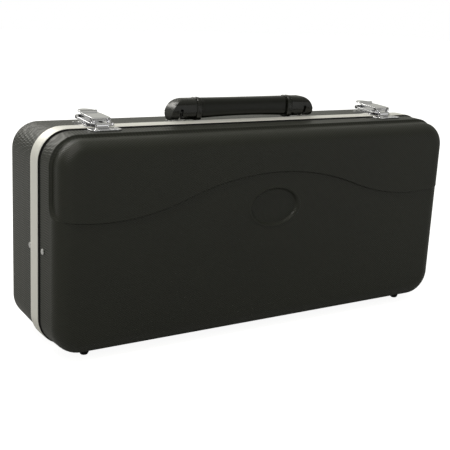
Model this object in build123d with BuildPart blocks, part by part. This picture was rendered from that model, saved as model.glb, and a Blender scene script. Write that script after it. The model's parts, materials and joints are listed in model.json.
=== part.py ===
"""Trumpet case: two moulded shells, an aluminium valance, draw latches, carrying handle,
bottom hinges, folding lid stays and a padded insert, each piece a separate solid.

X runs along the case, -Y is the lid side, +Z is up. The case stands on its feet at Z = 0,
with the origin midway along its length and depth. All sizes are in millimetres.
"""

from build123d import *
import os
from math import asin, cos, hypot, radians, sin, sqrt, tan

os.makedirs("parts", exist_ok=True)

# Driving sizes of the shells
case_length = 540.0
case_height = 237.0
lid_depth = 50.0
valance_width = 20.0
base_depth = 82.0
corner_radius = 33.0
edge_radius = 18.0
wall = 2.8
base_draft = 2.0
lid_draft = 1.3
seam_gap = 1.2

# Raised upper panel of the lid, the wave under it and the bare oval recess
panel_proud = 2.0
panel_inset = 4.0
rim_depth = 27.0
wave_low = 146.5
wave_rise = 40.0
wave_end_margin = 55.0
wave_crest_radius = 330.0
panel_corner_radius = 12.0
oval_width = 65.0
oval_height = 43.0
oval_rise = 145.5
oval_recess = 1.2

# Aluminium valance, its tongue, the strip in the lid and the seal
band_thickness = 1.6
seat_clearance = 0.1
web_depth = 6.0
flange_depth = 10.0
flange_thickness = 1.5
tongue_reach = 3.0
tongue_thickness = 1.5
strip_gap = 0.9
strip_thickness = 1.6
strip_depth = 15.5
strip_web = 2.8
strip_back = 1.5
seal_thickness = 0.8
seal_recess = 0.5

# Feet
foot_height = 6.5
foot_radius = 5.5
foot_flat_radius = 2.6
foot_flange_radius = 6.2
foot_flange_height = 1.2
foot_end_distance = 42.0
lid_foot_setback = 25.0
base_foot_setback = 76.0
foot_rivet_bite = 2.5

# Riveting, shared by every fitting
fit_gap = 0.1
touch_gap = 0.05
rivet_radius = 1.5
rivet_head_radius = 2.4
rivet_head_height = 1.2
rivet_tail_height = 0.9

# Hinges along the bottom
hinge_spread = 150.0
hinge_width = 36.0
hinge_leaf_depth = 15.0
hinge_leaf_thickness = 1.2
hinge_knuckle_radius = 2.3
hinge_pin_radius = 1.0
hinge_running_gap = 0.05
hinge_drop = 3.0
hinge_forward = 0.5
hinge_knuckle_gap = 0.3
hinge_rivet_spread = 11.0
hinge_rivet_back = 10.0
hinge_rivet_front = 10.0
lid_opening_angle = 95.0

# Lid stays at both ends
stay_elbow_margin = 22.0
stay_base_rivet_back = 25.0
stay_lid_rivet_front = 11.5
stay_rivet_below_middle = 9.5
stay_arm_half_width = 4.5
stay_arm_thickness = 1.4
stay_arm_gap = 0.4
stay_inset = 14.0
stay_pin_radius = 2.0
stay_head_radius = 3.4
stay_head_height = 1.3
stay_head_rounding = 0.8
stay_end_head_height = 0.8
stay_open_shank_radius = 1.2
stay_open_eye_radius = 3.4
stay_open_end_radius = 5.2
stay_open_head_radius = 4.8

# Draw latches on the top
latch_end_distance = 70.5
latch_plate_half_width = 18.0
latch_plate_front = 3.0
latch_plate_back = 38.6
latch_plate_thickness = 1.25
latch_plate_rim = 1.4
latch_plate_rim_height = 1.7
latch_plate_corner_radius = 2.8
latch_post_half_depth = 1.6
latch_knuckle_back = 38.0
latch_knuckle_rise = 8.0
latch_knuckle_radius = 2.4
latch_knuckle_half_width = 5.7
latch_pin_radius = 1.1
hasp_half_width = 13.0
hasp_thickness = 1.3
hasp_front_rise = 5.0
hasp_back_rise = 8.6
hasp_rim = 1.3
hasp_rim_bottom = 4.4
claw_half_width = 8.0
claw_front = 4.6
claw_thickness = 1.4
claw_bottom = 2.2
lever_pin_forward = 1.5
lever_pin_rise = 8.5
lever_pin_radius = 0.8
lever_lug_radius = 1.7
lever_lug_thickness = 1.5
lever_thickness = 1.3
lever_front_half_width = 11.0
lever_tab_half_width = 10.0
lever_top_rise = 11.9
lever_slope = 2.4
lever_step = 0.8
lever_step_back = 31.0
lever_length = 48.0
lever_skirt = 2.0
lever_fold_angle = 45.0
lever_ear_thickness = 1.4
lever_ear_gap = 0.2
lever_taper_start = 18.0
catch_half_width = 18.0
catch_depth = 15.6
catch_thickness = 1.25
catch_lip_thickness = 1.2
catch_lip_rise = 4.6
catch_claw_gap = 0.4
catch_edge_gap = 0.2
catch_corner_radius = 5.0
latch_rivet_spread = 14.0
latch_rivet_front = 10.0
latch_rivet_back = 27.0
latch_foot_front = 20.15
latch_foot_back = 33.0
latch_foot_sink = 0.45
catch_rivet_spread = 10.5
catch_rivet_front = 11.4

# Carrying handle
handle_back = 30.5
handle_half_length = 101.5
handle_pivot_rise = 10.4
handle_top_rise = 26.2
handle_pivot_radius = 9.2
handle_half_thickness = 10.0
cap_length = 33.0
cap_nose_length = 23.0
cap_nose_drop = 18.5
band_length = 7.0
band_proud = 0.9
grip_end_bottom = 2.5
grip_arch = 4.0
grip_edge_radius = 7.0
strap_width = 12.0
strap_thickness = 1.6
strap_rise = 17.0
strap_gap = 0.2
strap_pocket = 14.0
bracket_end_distance = 13.0
bracket_ear_thickness = 2.6
bracket_ear_half_width = 3.4
bracket_slot_gap = 0.5
bracket_plate_length = 22.0
bracket_plate_half_depth = 10.0
bracket_plate_thickness = 1.2
bracket_plate_sink = 0.5
bracket_rivet_reach = 6.0
bracket_rivet_side = 7.0
handle_pin_radius = 1.7
handle_pin_length = 13.0

# Padded insert of the base and pad of the lid
insert_end_margin = 24.0
insert_margin = 8.5
insert_front_gap = 1.5
floor_pad_thickness = 9.0
floor_pad_margin = 24.0
insert_seat_gap = 0.4
insert_corner_radius = 14.0
end_pad_thickness = 8.0
block_gap = 0.4
tray_bay_length = 200.0
bell_bay_length = 180.0
tray_height = 66.0
tray_wall = 8.0
tray_floor = 6.0
mouthpiece_block_height = 57.0
mouthpiece_hole_radius = 14.0
mouthpiece_hole_depth = 70.0
mouthpiece_hole_pitch = 62.0
mouthpiece_hole_count = 2
slide_bay_depth = 56.0
bell_half_height = 66.0
throat_half_height = 28.0
valve_pad_thickness = 12.0
bell_flare_sag = 11.0
lid_pad_thickness = 8.0
lid_pad_margin = 26.0
lid_pad_edge_radius = 2.7

# Places worked out from the driving sizes
overall_depth = panel_proud + lid_depth + valance_width + base_depth
front_y = -overall_depth / 2
lid_face_y = front_y + panel_proud
parting_y = lid_face_y + lid_depth
valance_back_y = parting_y + valance_width
back_y = valance_back_y + base_depth
bottom_z = foot_height
top_z = bottom_z + case_height
mid_z = bottom_z + case_height / 2
half_length = case_length / 2
wave_reach = half_length - wave_end_margin
foot_spread = half_length - foot_end_distance
latch_spread = half_length - latch_end_distance
bracket_spread = handle_half_length - bracket_end_distance
insert_half_length = half_length - insert_end_margin
bay_split_left = tray_bay_length - insert_half_length
bay_split_right = insert_half_length - bell_bay_length
lid_edge_y = parting_y - seam_gap
rim_front_y = parting_y - rim_depth
shell_edge_y = parting_y + web_depth + seat_clearance
lid_foot_y = parting_y - lid_foot_setback
base_foot_y = parting_y + base_foot_setback
hinge_y = parting_y - hinge_forward
hinge_z = bottom_z - hinge_drop
handle_y = parting_y + handle_back
handle_z = top_z + handle_pivot_rise
flange_inset = wall + seat_clearance + (flange_depth * tan(radians(base_draft))) + touch_gap
flange_inner_inset = flange_inset + flange_thickness
strip_inset = flange_inner_inset + strip_gap


def front_plane(y):
    """Upright plane at depth y, facing the lid side, centred on the case."""
    return Plane(origin=(0, y, mid_z), x_dir=(1, 0, 0), z_dir=(0, -1, 0))


def back_plane(y):
    """Upright plane at depth y, facing the back, centred on the case."""
    return Plane(origin=(0, y, mid_z), x_dir=(-1, 0, 0), z_dir=(0, 1, 0))


def length_plane(y):
    """Upright plane at depth y, facing the lid side, whose own axes are X and Z."""
    return Plane(origin=(0, y, 0), x_dir=(1, 0, 0), z_dir=(0, -1, 0))


def side_plane(x):
    """Upright plane across the case at x, whose own axes are Y and Z."""
    return Plane(origin=(x, 0, 0), x_dir=(0, 1, 0), z_dir=(1, 0, 0))


def finish(builder, name):
    """Label the piece and write its file."""
    builder.part.label = name
    export_step(builder.part, f"parts/{name}.step")


def base_surface_drop(y):
    """How far the drafted wall of the back shell stands inside the outline at depth y."""
    return seat_clearance + (y - shell_edge_y) * tan(radians(base_draft))


def lid_surface_drop(y):
    """How far the drafted wall of the lid stands inside the outline at depth y."""
    return (lid_edge_y - y) * tan(radians(lid_draft))


def outline(inset, mode=Mode.ADD):
    """The rounded rectangle of the case, drawn in by inset, in the current sketch."""
    width = case_length - 2 * inset
    height = case_height - 2 * inset
    RectangleRounded(width, height, corner_radius - inset, mode=mode)


def add_ring(start_y, end_y, outer_inset, inner_inset):
    """Ring that follows the case's outline from start_y back to end_y."""
    with BuildSketch(back_plane(start_y)) as ring:
        outline(outer_inset)
        outline(inner_inset, mode=Mode.SUBTRACT)
    extrude(ring.sketch, amount=end_y - start_y)


def cut_round_holes(plane, places, radius, depth):
    """Cut round holes through the current part, to depth on both sides of the plane."""
    with BuildSketch(plane) as holes:
        with Locations(*places):
            Circle(radius)
    extrude(holes.sketch, amount=depth, both=True, mode=Mode.SUBTRACT)


def rivet_form(grip, shank, head_radius, head_height, tail_radius, tail_height):
    """Rivet along Z: domed head above Z = 0, shank down through grip, flat tail below."""
    dome_radius = (head_radius**2 + head_height**2) / (2 * head_height)
    half_turn = asin(head_radius / dome_radius) / 2
    crown_drop = dome_radius * (1 - cos(half_turn))
    crown = (dome_radius * sin(half_turn), head_height - crown_drop)
    with BuildPart() as rivet:
        with BuildSketch(Plane.XZ):
            with BuildLine():
                Line((0, head_height), (0, -grip - tail_height))
                Line((0, -grip - tail_height), (tail_radius, -grip - tail_height))
                Line((tail_radius, -grip - tail_height), (tail_radius, -grip))
                Line((tail_radius, -grip), (shank, -grip))
                Line((shank, -grip), (shank, 0))
                Line((shank, 0), (head_radius, 0))
                ThreePointArc((head_radius, 0), crown, (0, head_height))
            make_face()
        revolve(axis=Axis.Z)
    return rivet.part


def shell_rivet(grip):
    """The common rivet of the fittings."""
    return rivet_form(
        grip, rivet_radius, rivet_head_radius, rivet_head_height, rivet_head_radius, rivet_tail_height
    )


def make_rivets(name, form, places, direction):
    """One node of like rivets whose heads lie at places and point along direction."""
    with BuildPart() as rivets:
        for place in places:
            with Locations(Plane(origin=place, z_dir=direction).location):
                add(form)
    finish(rivets, name)


def rivet_pairs(spread, half_pitch):
    """Places along X of a pair of rivets at each end of the case."""
    return [side * spread + end * half_pitch for side in (-1, 1) for end in (-1, 1)]


# Rivet places, in the plane of the wall that they go through
latch_rivet_xs = rivet_pairs(latch_spread, latch_rivet_spread)
catch_rivet_xs = rivet_pairs(latch_spread, catch_rivet_spread)
hinge_rivet_xs = rivet_pairs(hinge_spread, hinge_rivet_spread)
latch_front_places = [(x, parting_y + latch_rivet_front) for x in latch_rivet_xs]
latch_back_places = [(x, parting_y + latch_rivet_back) for x in latch_rivet_xs]
catch_places = [(x, parting_y - catch_rivet_front) for x in catch_rivet_xs]
hinge_base_places = [(x, parting_y + hinge_rivet_back) for x in hinge_rivet_xs]
hinge_lid_places = [(x, parting_y - hinge_rivet_front) for x in hinge_rivet_xs]
bracket_places = [
    (s * (bracket_spread + e * bracket_rivet_reach), handle_y + e * bracket_rivet_side)
    for s in (-1, 1)
    for e in (-1, 1)
]
foot_xs = (-foot_spread, foot_spread)

# Lid stays: both wall rivets stand the same distance from the hinge, and the elbow is above
stay_rivet_rise = case_height / 2 - stay_rivet_below_middle
stay_arm_length = case_height - stay_rivet_rise - stay_elbow_margin
stay_radius = hypot(stay_base_rivet_back + hinge_forward, stay_rivet_rise + hinge_drop)
stay_base_y = parting_y + stay_base_rivet_back
stay_base_z = bottom_z + stay_rivet_rise
stay_lid_y = parting_y - stay_lid_rivet_front
stay_lid_z = hinge_z + sqrt(stay_radius**2 - (stay_lid_rivet_front - hinge_forward) ** 2)
stay_mid_y = (stay_base_y + stay_lid_y) / 2 - hinge_y
stay_mid_z = (stay_base_z + stay_lid_z) / 2 - hinge_z
stay_half_gap = hypot(stay_base_y - stay_lid_y, stay_base_z - stay_lid_z) / 2
stay_elbow_reach = 1 + sqrt(stay_arm_length**2 - stay_half_gap**2) / hypot(stay_mid_y, stay_mid_z)
stay_elbow_y = hinge_y + stay_mid_y * stay_elbow_reach
stay_elbow_z = hinge_z + stay_mid_z * stay_elbow_reach
base_arm_x = half_length - stay_inset
lid_arm_x = base_arm_x - stay_arm_thickness - stay_arm_gap


def base_form(inset, start_y, end_y):
    """Solid of the back shell's outside, drawn in by inset, from start_y to end_y."""
    with BuildPart() as form:
        with BuildSketch(back_plane(start_y)):
            outline(inset + base_surface_drop(start_y))
        extrude(amount=end_y - start_y, taper=base_draft)
        back_edges = form.faces().sort_by(Axis.Y)[-1].edges()
        fillet(back_edges, edge_radius - inset)
    return form.part


def make_back_shell():
    """Moulded back half of the case, with the holes of everything riveted to it."""
    outer = base_form(0, shell_edge_y, back_y)
    inner = base_form(wall, shell_edge_y - wall, back_y - wall)
    hole = rivet_radius + fit_gap
    with BuildPart() as shell:
        add(outer)
        add(inner, mode=Mode.SUBTRACT)
        stay_place = [(stay_base_y, stay_base_z)]
        for side in (-1, 1):
            cut_round_holes(side_plane(side * half_length), stay_place, stay_pin_radius + fit_gap, 2 * wall)
        foot_places = [(x, base_foot_y) for x in foot_xs]
        bottom_wall = Plane.XY.offset(bottom_z + base_surface_drop(base_foot_y))
        cut_round_holes(bottom_wall, foot_places, hole, 2 * wall)
        cut_round_holes(Plane.XY.offset(bottom_z), hinge_base_places, hole, 2 * wall)
        top_places = latch_front_places + latch_back_places + bracket_places
        cut_round_holes(Plane.XY.offset(top_z), top_places, hole, 2 * wall)
    finish(shell, "back_shell")


# The wave under the raised panel: one crest arc that runs smoothly into a valley arc each side
wave_low_level = wave_low - case_height / 2
wave_high_level = wave_low_level + wave_rise
valley_radius = (wave_reach**2 + wave_rise**2) / (2 * wave_rise) - wave_crest_radius
crest_centre = wave_high_level - wave_crest_radius
wave_join_share = wave_crest_radius / (wave_crest_radius + valley_radius)
wave_join_x = wave_reach * wave_join_share
wave_join_level = crest_centre + (wave_low_level + valley_radius - crest_centre) * wave_join_share
panel_side_x = half_length - panel_inset
wave_end_run = panel_side_x - wave_reach
wave_end_level = wave_low_level + valley_radius - sqrt(valley_radius**2 - wave_end_run**2)


def panel_region():
    """Face above the wave between the panel's sides, with its two low corners rounded."""
    join_left = (-wave_join_x, wave_join_level)
    join_right = (wave_join_x, wave_join_level)
    end_left = (-panel_side_x, wave_end_level)
    end_right = (panel_side_x, wave_end_level)
    with BuildLine() as border:
        ThreePointArc(end_left, (-wave_reach, wave_low_level), join_left)
        ThreePointArc(join_left, (0, wave_high_level), join_right)
        ThreePointArc(join_right, (wave_reach, wave_low_level), end_right)
        Polyline(end_right, (panel_side_x, case_height), (-panel_side_x, case_height), end_left)
    make_face(border.edges())


def panel_sketch(y):
    """The panel's region as a sketch at depth y."""
    with BuildSketch(front_plane(y)) as region:
        panel_region()
        low_corners = region.vertices().group_by(Axis.Y)[0]
        fillet(low_corners, panel_corner_radius)
    return region.sketch


def lid_block(inset, start_y, face_y):
    """Rounded, drafted block of the lid from start_y forward to face_y, drawn in by inset."""
    with BuildPart() as block:
        with BuildSketch(front_plane(start_y)):
            outline(inset + lid_surface_drop(start_y))
        extrude(amount=start_y - face_y, taper=lid_draft)
        front_edges = block.faces().sort_by(Axis.Y)[0].edges()
        fillet(front_edges, edge_radius - inset)
    return block.part


def lid_outside():
    """The lid as a full solid: a plain block, set back above the wave to the rim band, with
    the raised panel standing on it."""
    plain = lid_block(0, lid_edge_y, lid_face_y)
    raised = lid_block(panel_inset, lid_edge_y, front_y)
    reach = rim_front_y - front_y + corner_radius
    with BuildPart() as panel:
        extrude(panel_sketch(rim_front_y + touch_gap), amount=reach)
        add(raised, mode=Mode.INTERSECT)
    step_low = wave_end_level + panel_corner_radius
    with BuildPart() as form:
        add(plain)
        extrude(panel_sketch(rim_front_y), amount=reach, mode=Mode.SUBTRACT)
        with BuildSketch(front_plane(rim_front_y)):
            with Locations((panel_side_x - touch_gap, step_low)):
                Rectangle(edge_radius, case_height, align=(Align.MIN, Align.MIN))
            with Locations((touch_gap - panel_side_x, step_low)):
                Rectangle(edge_radius, case_height, align=(Align.MAX, Align.MIN))
        extrude(amount=reach, mode=Mode.SUBTRACT)
        add(panel.part)
    return form.part


def make_lid_shell():
    """Moulded lid, hollowed to an even wall behind its raised panel, with the oval recess."""
    outside = lid_outside()
    plain = lid_block(wall, lid_edge_y + wall, lid_face_y + wall)
    narrow = lid_block(wall + panel_inset, lid_edge_y, lid_face_y + wall)
    deep = lid_block(wall + panel_inset, lid_edge_y, front_y + wall)
    with BuildPart() as hollow:
        add(plain)
        with BuildSketch(front_plane(rim_front_y + wall)):
            with Locations((0, wave_low_level - wall)):
                Rectangle(case_length, case_height, align=(Align.CENTER, Align.MIN))
        extrude(amount=lid_depth, mode=Mode.SUBTRACT)
        add(narrow)
    with BuildPart() as deep_hollow:
        with BuildSketch(front_plane(lid_edge_y)):
            panel_region()
            offset(amount=-wall, kind=Kind.INTERSECTION)
        extrude(amount=lid_depth + panel_proud)
        add(deep, mode=Mode.INTERSECT)
    with BuildPart() as shell:
        add(outside)
        add(hollow.part, mode=Mode.SUBTRACT)
        add(deep_hollow.part, mode=Mode.SUBTRACT)
        with BuildSketch(front_plane(lid_face_y)):
            with Locations((0, oval_rise - case_height / 2)):
                Ellipse(oval_width / 2, oval_height / 2)
        extrude(amount=-oval_recess, mode=Mode.SUBTRACT)
        hole = rivet_radius + fit_gap
        stay_place = [(stay_lid_y, stay_lid_z)]
        for side in (-1, 1):
            cut_round_holes(side_plane(side * half_length), stay_place, stay_pin_radius + fit_gap, 2 * wall)
        bottom_places = [(x, lid_foot_y) for x in foot_xs] + hinge_lid_places
        cut_round_holes(Plane.XY.offset(bottom_z), bottom_places, hole, 2 * wall)
        cut_round_holes(Plane.XY.offset(top_z), catch_places, hole, 2 * wall)
    finish(shell, "lid_shell")


def make_valance():
    """Aluminium band round the base's mouth: a proud band over the shell's edge, a web that
    closes the front, a flange inside the wall and a tongue that reaches into the lid."""
    web_back = parting_y + web_depth
    hole = rivet_radius + fit_gap
    with BuildPart() as valance:
        add_ring(parting_y, valance_back_y, -band_thickness, 0)
        add_ring(parting_y, web_back, -touch_gap, flange_inner_inset)
        add_ring(web_back - touch_gap, web_back + flange_depth, flange_inset, flange_inner_inset)
        tongue_inset = flange_inner_inset - tongue_thickness
        add_ring(parting_y - tongue_reach, parting_y + touch_gap, tongue_inset, flange_inner_inset)
        notch_depth = hinge_knuckle_radius - hinge_forward + hinge_knuckle_gap
        with BuildSketch(Plane.XY.offset(bottom_z)):
            with Locations((-hinge_spread, parting_y), (hinge_spread, parting_y)):
                Rectangle(hinge_width + 2 * hinge_knuckle_gap, 2 * notch_depth)
        extrude(amount=-2 * band_thickness, mode=Mode.SUBTRACT)
        through = 2 * flange_inner_inset
        cut_round_holes(Plane.XY.offset(bottom_z), hinge_base_places, hole, through)
        cut_round_holes(Plane.XY.offset(top_z), latch_front_places, hole, through)
    finish(valance, "base_valance")


def make_lid_strip():
    """Aluminium strip inside the lid's edge, which makes the groove for the tongue."""
    back = parting_y - strip_back
    front = back - strip_depth
    web_outer = wall + lid_surface_drop(front) + fit_gap
    with BuildPart() as strip:
        add_ring(front, back, strip_inset, strip_inset + strip_thickness)
        add_ring(front, front + strip_web, web_outer, strip_inset + touch_gap)
        for side in (-1, 1):
            place = [(stay_lid_y, stay_lid_z)]
            plane = side_plane(side * (half_length - strip_inset))
            cut_round_holes(plane, place, stay_open_head_radius + strip_gap, strip_inset)
    finish(strip, "lid_valance")


def make_seal():
    """Black rubber seal on the lid's edge, seen as the dark line beside the aluminium."""
    start = lid_edge_y + touch_gap
    with BuildPart() as seal:
        add_ring(start, start + seal_thickness, seal_recess, wall - seal_recess / 2)
    finish(seal, "lid_seal")


def make_feet(name, y, top):
    """Two domed rubber feet at depth y, from the floor up to the shell, with blind holes."""
    with BuildPart() as feet:
        for x in foot_xs:
            with BuildSketch(Plane(origin=(x, y, 0), x_dir=(1, 0, 0), z_dir=(0, -1, 0))):
                shoulder = top - foot_flange_height
                dome_turn = radians(60)
                middle_x = foot_flat_radius + (foot_radius - foot_flat_radius) * sin(dome_turn)
                middle_z = shoulder * (1 - cos(dome_turn))
                with BuildLine():
                    Polyline((foot_flat_radius, 0), (0, 0), (0, top), (foot_flange_radius, top))
                    Line((foot_flange_radius, top), (foot_flange_radius, shoulder))
                    Line((foot_flange_radius, shoulder), (foot_radius, shoulder))
                    ThreePointArc((foot_radius, shoulder), (middle_x, middle_z), (foot_flat_radius, 0))
                make_face()
            revolve(axis=Axis((x, y, 0), (0, 0, 1)))
        hole_places = [(x, y) for x in foot_xs]
        cut_round_holes(Plane.XY.offset(top), hole_places, rivet_radius + touch_gap, foot_rivet_bite)
    finish(feet, name)


def make_foot_rivets(name, y, top, inner):
    """Plain-shanked rivets from inside the shell down into the feet."""
    length = inner - (top - foot_rivet_bite) - 2 * fit_gap
    end_radius = rivet_radius - fit_gap
    form = rivet_form(length, rivet_radius, rivet_head_radius, rivet_head_height, end_radius, fit_gap)
    make_rivets(name, form, [(x, y, inner) for x in foot_xs], (0, 0, 1))


def make_all_feet():
    """Feet and foot rivets under both halves, fitted to the drafted walls."""
    base_top = bottom_z + base_surface_drop(base_foot_y - foot_flange_radius) - touch_gap
    base_inner = bottom_z + base_surface_drop(base_foot_y + rivet_head_radius) + wall + fit_gap
    lid_top = bottom_z + lid_surface_drop(lid_foot_y + foot_flange_radius) - touch_gap
    lid_inner = bottom_z + lid_surface_drop(lid_foot_y - rivet_head_radius) + wall + fit_gap
    make_feet("base_feet", base_foot_y, base_top)
    make_foot_rivets("base_foot_rivets", base_foot_y, base_top, base_inner)
    make_feet("lid_feet", lid_foot_y, lid_top)
    make_foot_rivets("lid_foot_rivets", lid_foot_y, lid_top, lid_inner)


def add_profile(low_x, high_x, points, mode=Mode.ADD):
    """Polygon in Y and Z, carried from low_x to high_x."""
    with BuildSketch(side_plane(low_x)) as profile:
        Polygon(*points, align=None)
    extrude(profile.sketch, amount=high_x - low_x, mode=mode)


def add_bar(low_x, high_x, y, z, radius, mode=Mode.ADD):
    """Round bar along X centred on y and z, from low_x to high_x."""
    with BuildSketch(side_plane(low_x)) as section:
        with Locations((y, z)):
            Circle(radius)
    extrude(section.sketch, amount=high_x - low_x, mode=mode)


def box_points(low_y, low_z, high_y, high_z):
    """The corners of an upright rectangle in Y and Z."""
    return [(low_y, low_z), (high_y, low_z), (high_y, high_z), (low_y, high_z)]


def make_hinge(side, name):
    """Butt hinge under the parting line: base leaf with two outer knuckles, lid leaf with the
    middle knuckle, and the pin."""
    x = side * hinge_spread
    half = hinge_width / 2
    inner_half = hinge_width / 4
    outer_half = inner_half + hinge_knuckle_gap
    base_top = bottom_z - band_thickness - touch_gap
    base_low = base_top - hinge_leaf_thickness
    clear = hinge_knuckle_radius + hinge_knuckle_gap
    bore = hinge_pin_radius + hinge_running_gap
    leaf_end = parting_y + hinge_leaf_depth
    with BuildPart() as base_leaf:
        add_profile(x - half, x + half, box_points(hinge_y + clear, base_low, leaf_end, base_top))
        for low, high in ((x - half, x - outer_half), (x + outer_half, x + half)):
            add_bar(low, high, hinge_y, hinge_z, hinge_knuckle_radius)
            add_profile(low, high, box_points(hinge_y, base_low, hinge_y + clear + touch_gap, base_top))
        add_bar(x - half, x + half, hinge_y, hinge_z, bore, mode=Mode.SUBTRACT)
        places = [(px, py) for px, py in hinge_base_places if abs(px - x) < half]
        cut_round_holes(Plane.XY.offset(base_top), places, rivet_radius + fit_gap, wall)
    finish(base_leaf, f"hinge_base_leaf_{name}")
    lid_top = bottom_z - touch_gap
    lid_low = lid_top - hinge_leaf_thickness
    lid_end = parting_y - hinge_leaf_depth
    with BuildPart() as lid_leaf:
        add_profile(x - half, x + half, box_points(lid_end, lid_low, hinge_y - clear, lid_top))
        add_bar(x - inner_half, x + inner_half, hinge_y, hinge_z, hinge_knuckle_radius)
        web = box_points(hinge_y - clear - touch_gap, lid_low, hinge_y, lid_top - touch_gap)
        add_profile(x - inner_half, x + inner_half, web)
        add_bar(x - half, x + half, hinge_y, hinge_z, bore, mode=Mode.SUBTRACT)
        places = [(px, py) for px, py in hinge_lid_places if abs(px - x) < half]
        cut_round_holes(Plane.XY.offset(lid_top), places, rivet_radius + fit_gap, wall)
    finish(lid_leaf, f"hinge_lid_leaf_{name}")
    with BuildPart() as pin:
        add_bar(x - half, x + half, hinge_y, hinge_z, hinge_pin_radius)
    finish(pin, f"hinge_pin_{name}")


def make_hinges():
    """Both hinges and the rivets that hold their leaves."""
    make_hinge(-1, "left")
    make_hinge(1, "right")
    leaf_low = bottom_z - band_thickness - touch_gap - hinge_leaf_thickness - touch_gap
    inner = bottom_z + flange_inner_inset + touch_gap
    heads = [(x, y, leaf_low) for x, y in hinge_base_places]
    make_rivets("hinge_base_rivets", shell_rivet(inner - leaf_low), heads, (0, 0, -1))
    lid_leaf_low = bottom_z - touch_gap - hinge_leaf_thickness - touch_gap
    lid_y = parting_y - hinge_rivet_front - rivet_head_radius
    lid_inner = bottom_z + wall + lid_surface_drop(lid_y) + touch_gap
    heads = [(x, y, lid_leaf_low) for x, y in hinge_lid_places]
    make_rivets("hinge_lid_rivets", shell_rivet(lid_inner - lid_leaf_low), heads, (0, 0, -1))


def stay_arm(x, start, end, start_radius, end_radius, start_hole, end_hole):
    """Flat arm whose outer face is at x, from start to end in Y and Z, with an eye at each."""
    inward = -1 if x > 0 else 1
    run_y = end[0] - start[0]
    run_z = end[1] - start[1]
    length = hypot(run_y, run_z)
    side_y = -run_z / length * stay_arm_half_width
    side_z = run_y / length * stay_arm_half_width
    corners = [
        (start[0] + side_y, start[1] + side_z),
        (start[0] - side_y, start[1] - side_z),
        (end[0] - side_y, end[1] - side_z),
        (end[0] + side_y, end[1] + side_z),
    ]
    with BuildPart() as arm:
        with BuildSketch(side_plane(x)):
            Polygon(*corners, align=None)
            with Locations(start):
                Circle(start_radius)
            with Locations(end):
                Circle(end_radius)
            with Locations(start):
                Circle(start_hole, mode=Mode.SUBTRACT)
            with Locations(end):
                Circle(end_hole, mode=Mode.SUBTRACT)
        extrude(amount=inward * stay_arm_thickness)
    return arm


def stepped_pin(steps, y, z, side):
    """Turned pin along X from stacked collars, each given as (outer x, inner x, radius)."""
    for outer_x, inner_x, radius in steps:
        add_bar(min(side * outer_x, side * inner_x), max(side * outer_x, side * inner_x), y, z, radius)


def make_stays():
    """Folding stays at both ends, with their elbow pins and the rivets through the walls."""
    elbow = (stay_elbow_y, stay_elbow_z)
    base_eye = (stay_base_y, stay_base_z)
    lid_eye = (stay_lid_y, stay_lid_z)
    hole = stay_pin_radius + touch_gap
    end_half = stay_arm_half_width
    base_arm_in = base_arm_x - stay_arm_thickness
    lid_arm_in = lid_arm_x - stay_arm_thickness
    lid_head_in = lid_arm_in - touch_gap - stay_end_head_height
    for side, name in ((-1, "left"), (1, "right")):
        arm = stay_arm(side * base_arm_x, base_eye, elbow, end_half, end_half, hole, hole)
        finish(arm, f"stay_base_arm_{name}")
        arm = stay_arm(
            side * lid_arm_x, elbow, lid_eye, end_half, stay_open_end_radius, hole, stay_open_eye_radius
        )
        finish(arm, f"stay_lid_arm_{name}")
        steps = (
            (base_arm_x + touch_gap + stay_end_head_height, base_arm_x + touch_gap, stay_head_radius),
            (base_arm_x + touch_gap, lid_arm_in - touch_gap, stay_pin_radius),
            (lid_arm_in - touch_gap, lid_head_in, stay_head_radius),
        )
        with BuildPart() as pin:
            stepped_pin(steps, *elbow, side)
        finish(pin, f"stay_elbow_pin_{name}")
    base_out = half_length - base_surface_drop(stay_base_y - stay_head_radius) + touch_gap
    base_in = half_length - base_surface_drop(stay_base_y + stay_head_radius) - wall - touch_gap
    with BuildPart() as base_pins:
        for side in (-1, 1):
            steps = (
                (base_out + stay_head_height, base_out, stay_head_radius),
                (base_out, base_in, stay_pin_radius),
                (base_in, base_arm_x + touch_gap, stay_head_radius),
                (base_arm_x + touch_gap, base_arm_in - touch_gap, stay_pin_radius),
                (base_arm_in - touch_gap, base_arm_in - touch_gap - stay_end_head_height, stay_head_radius),
            )
            stepped_pin(steps, *base_eye, side)
        outer_faces = base_pins.faces().filter_by(Axis.X).group_by(Axis.X)
        fillet(outer_faces[0].edges() + outer_faces[-1].edges(), stay_head_rounding)
    finish(base_pins, "stay_base_rivets")
    lid_out = half_length - lid_surface_drop(stay_lid_y + stay_head_radius) + touch_gap
    lid_in = half_length - lid_surface_drop(stay_lid_y - stay_open_head_radius) - wall - touch_gap
    with BuildPart() as lid_pins:
        for side in (-1, 1):
            steps = (
                (lid_out + stay_head_height, lid_out, stay_head_radius),
                (lid_out, lid_in, stay_pin_radius),
                (lid_in, lid_arm_x + touch_gap, stay_open_head_radius),
                (lid_arm_x + touch_gap, lid_arm_in - touch_gap, stay_open_shank_radius),
                (lid_arm_in - touch_gap, lid_head_in, stay_open_head_radius),
            )
            stepped_pin(steps, *lid_eye, side)
        outer_faces = lid_pins.faces().filter_by(Axis.X).group_by(Axis.X)
        fillet(outer_faces[0].edges() + outer_faces[-1].edges(), stay_head_rounding)
    finish(lid_pins, "stay_lid_rivets")


def latch_points(points):
    """Points given from the parting line and the top of the case, as Y and Z."""
    return [(parting_y + back, top_z + rise) for back, rise in points]


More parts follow.
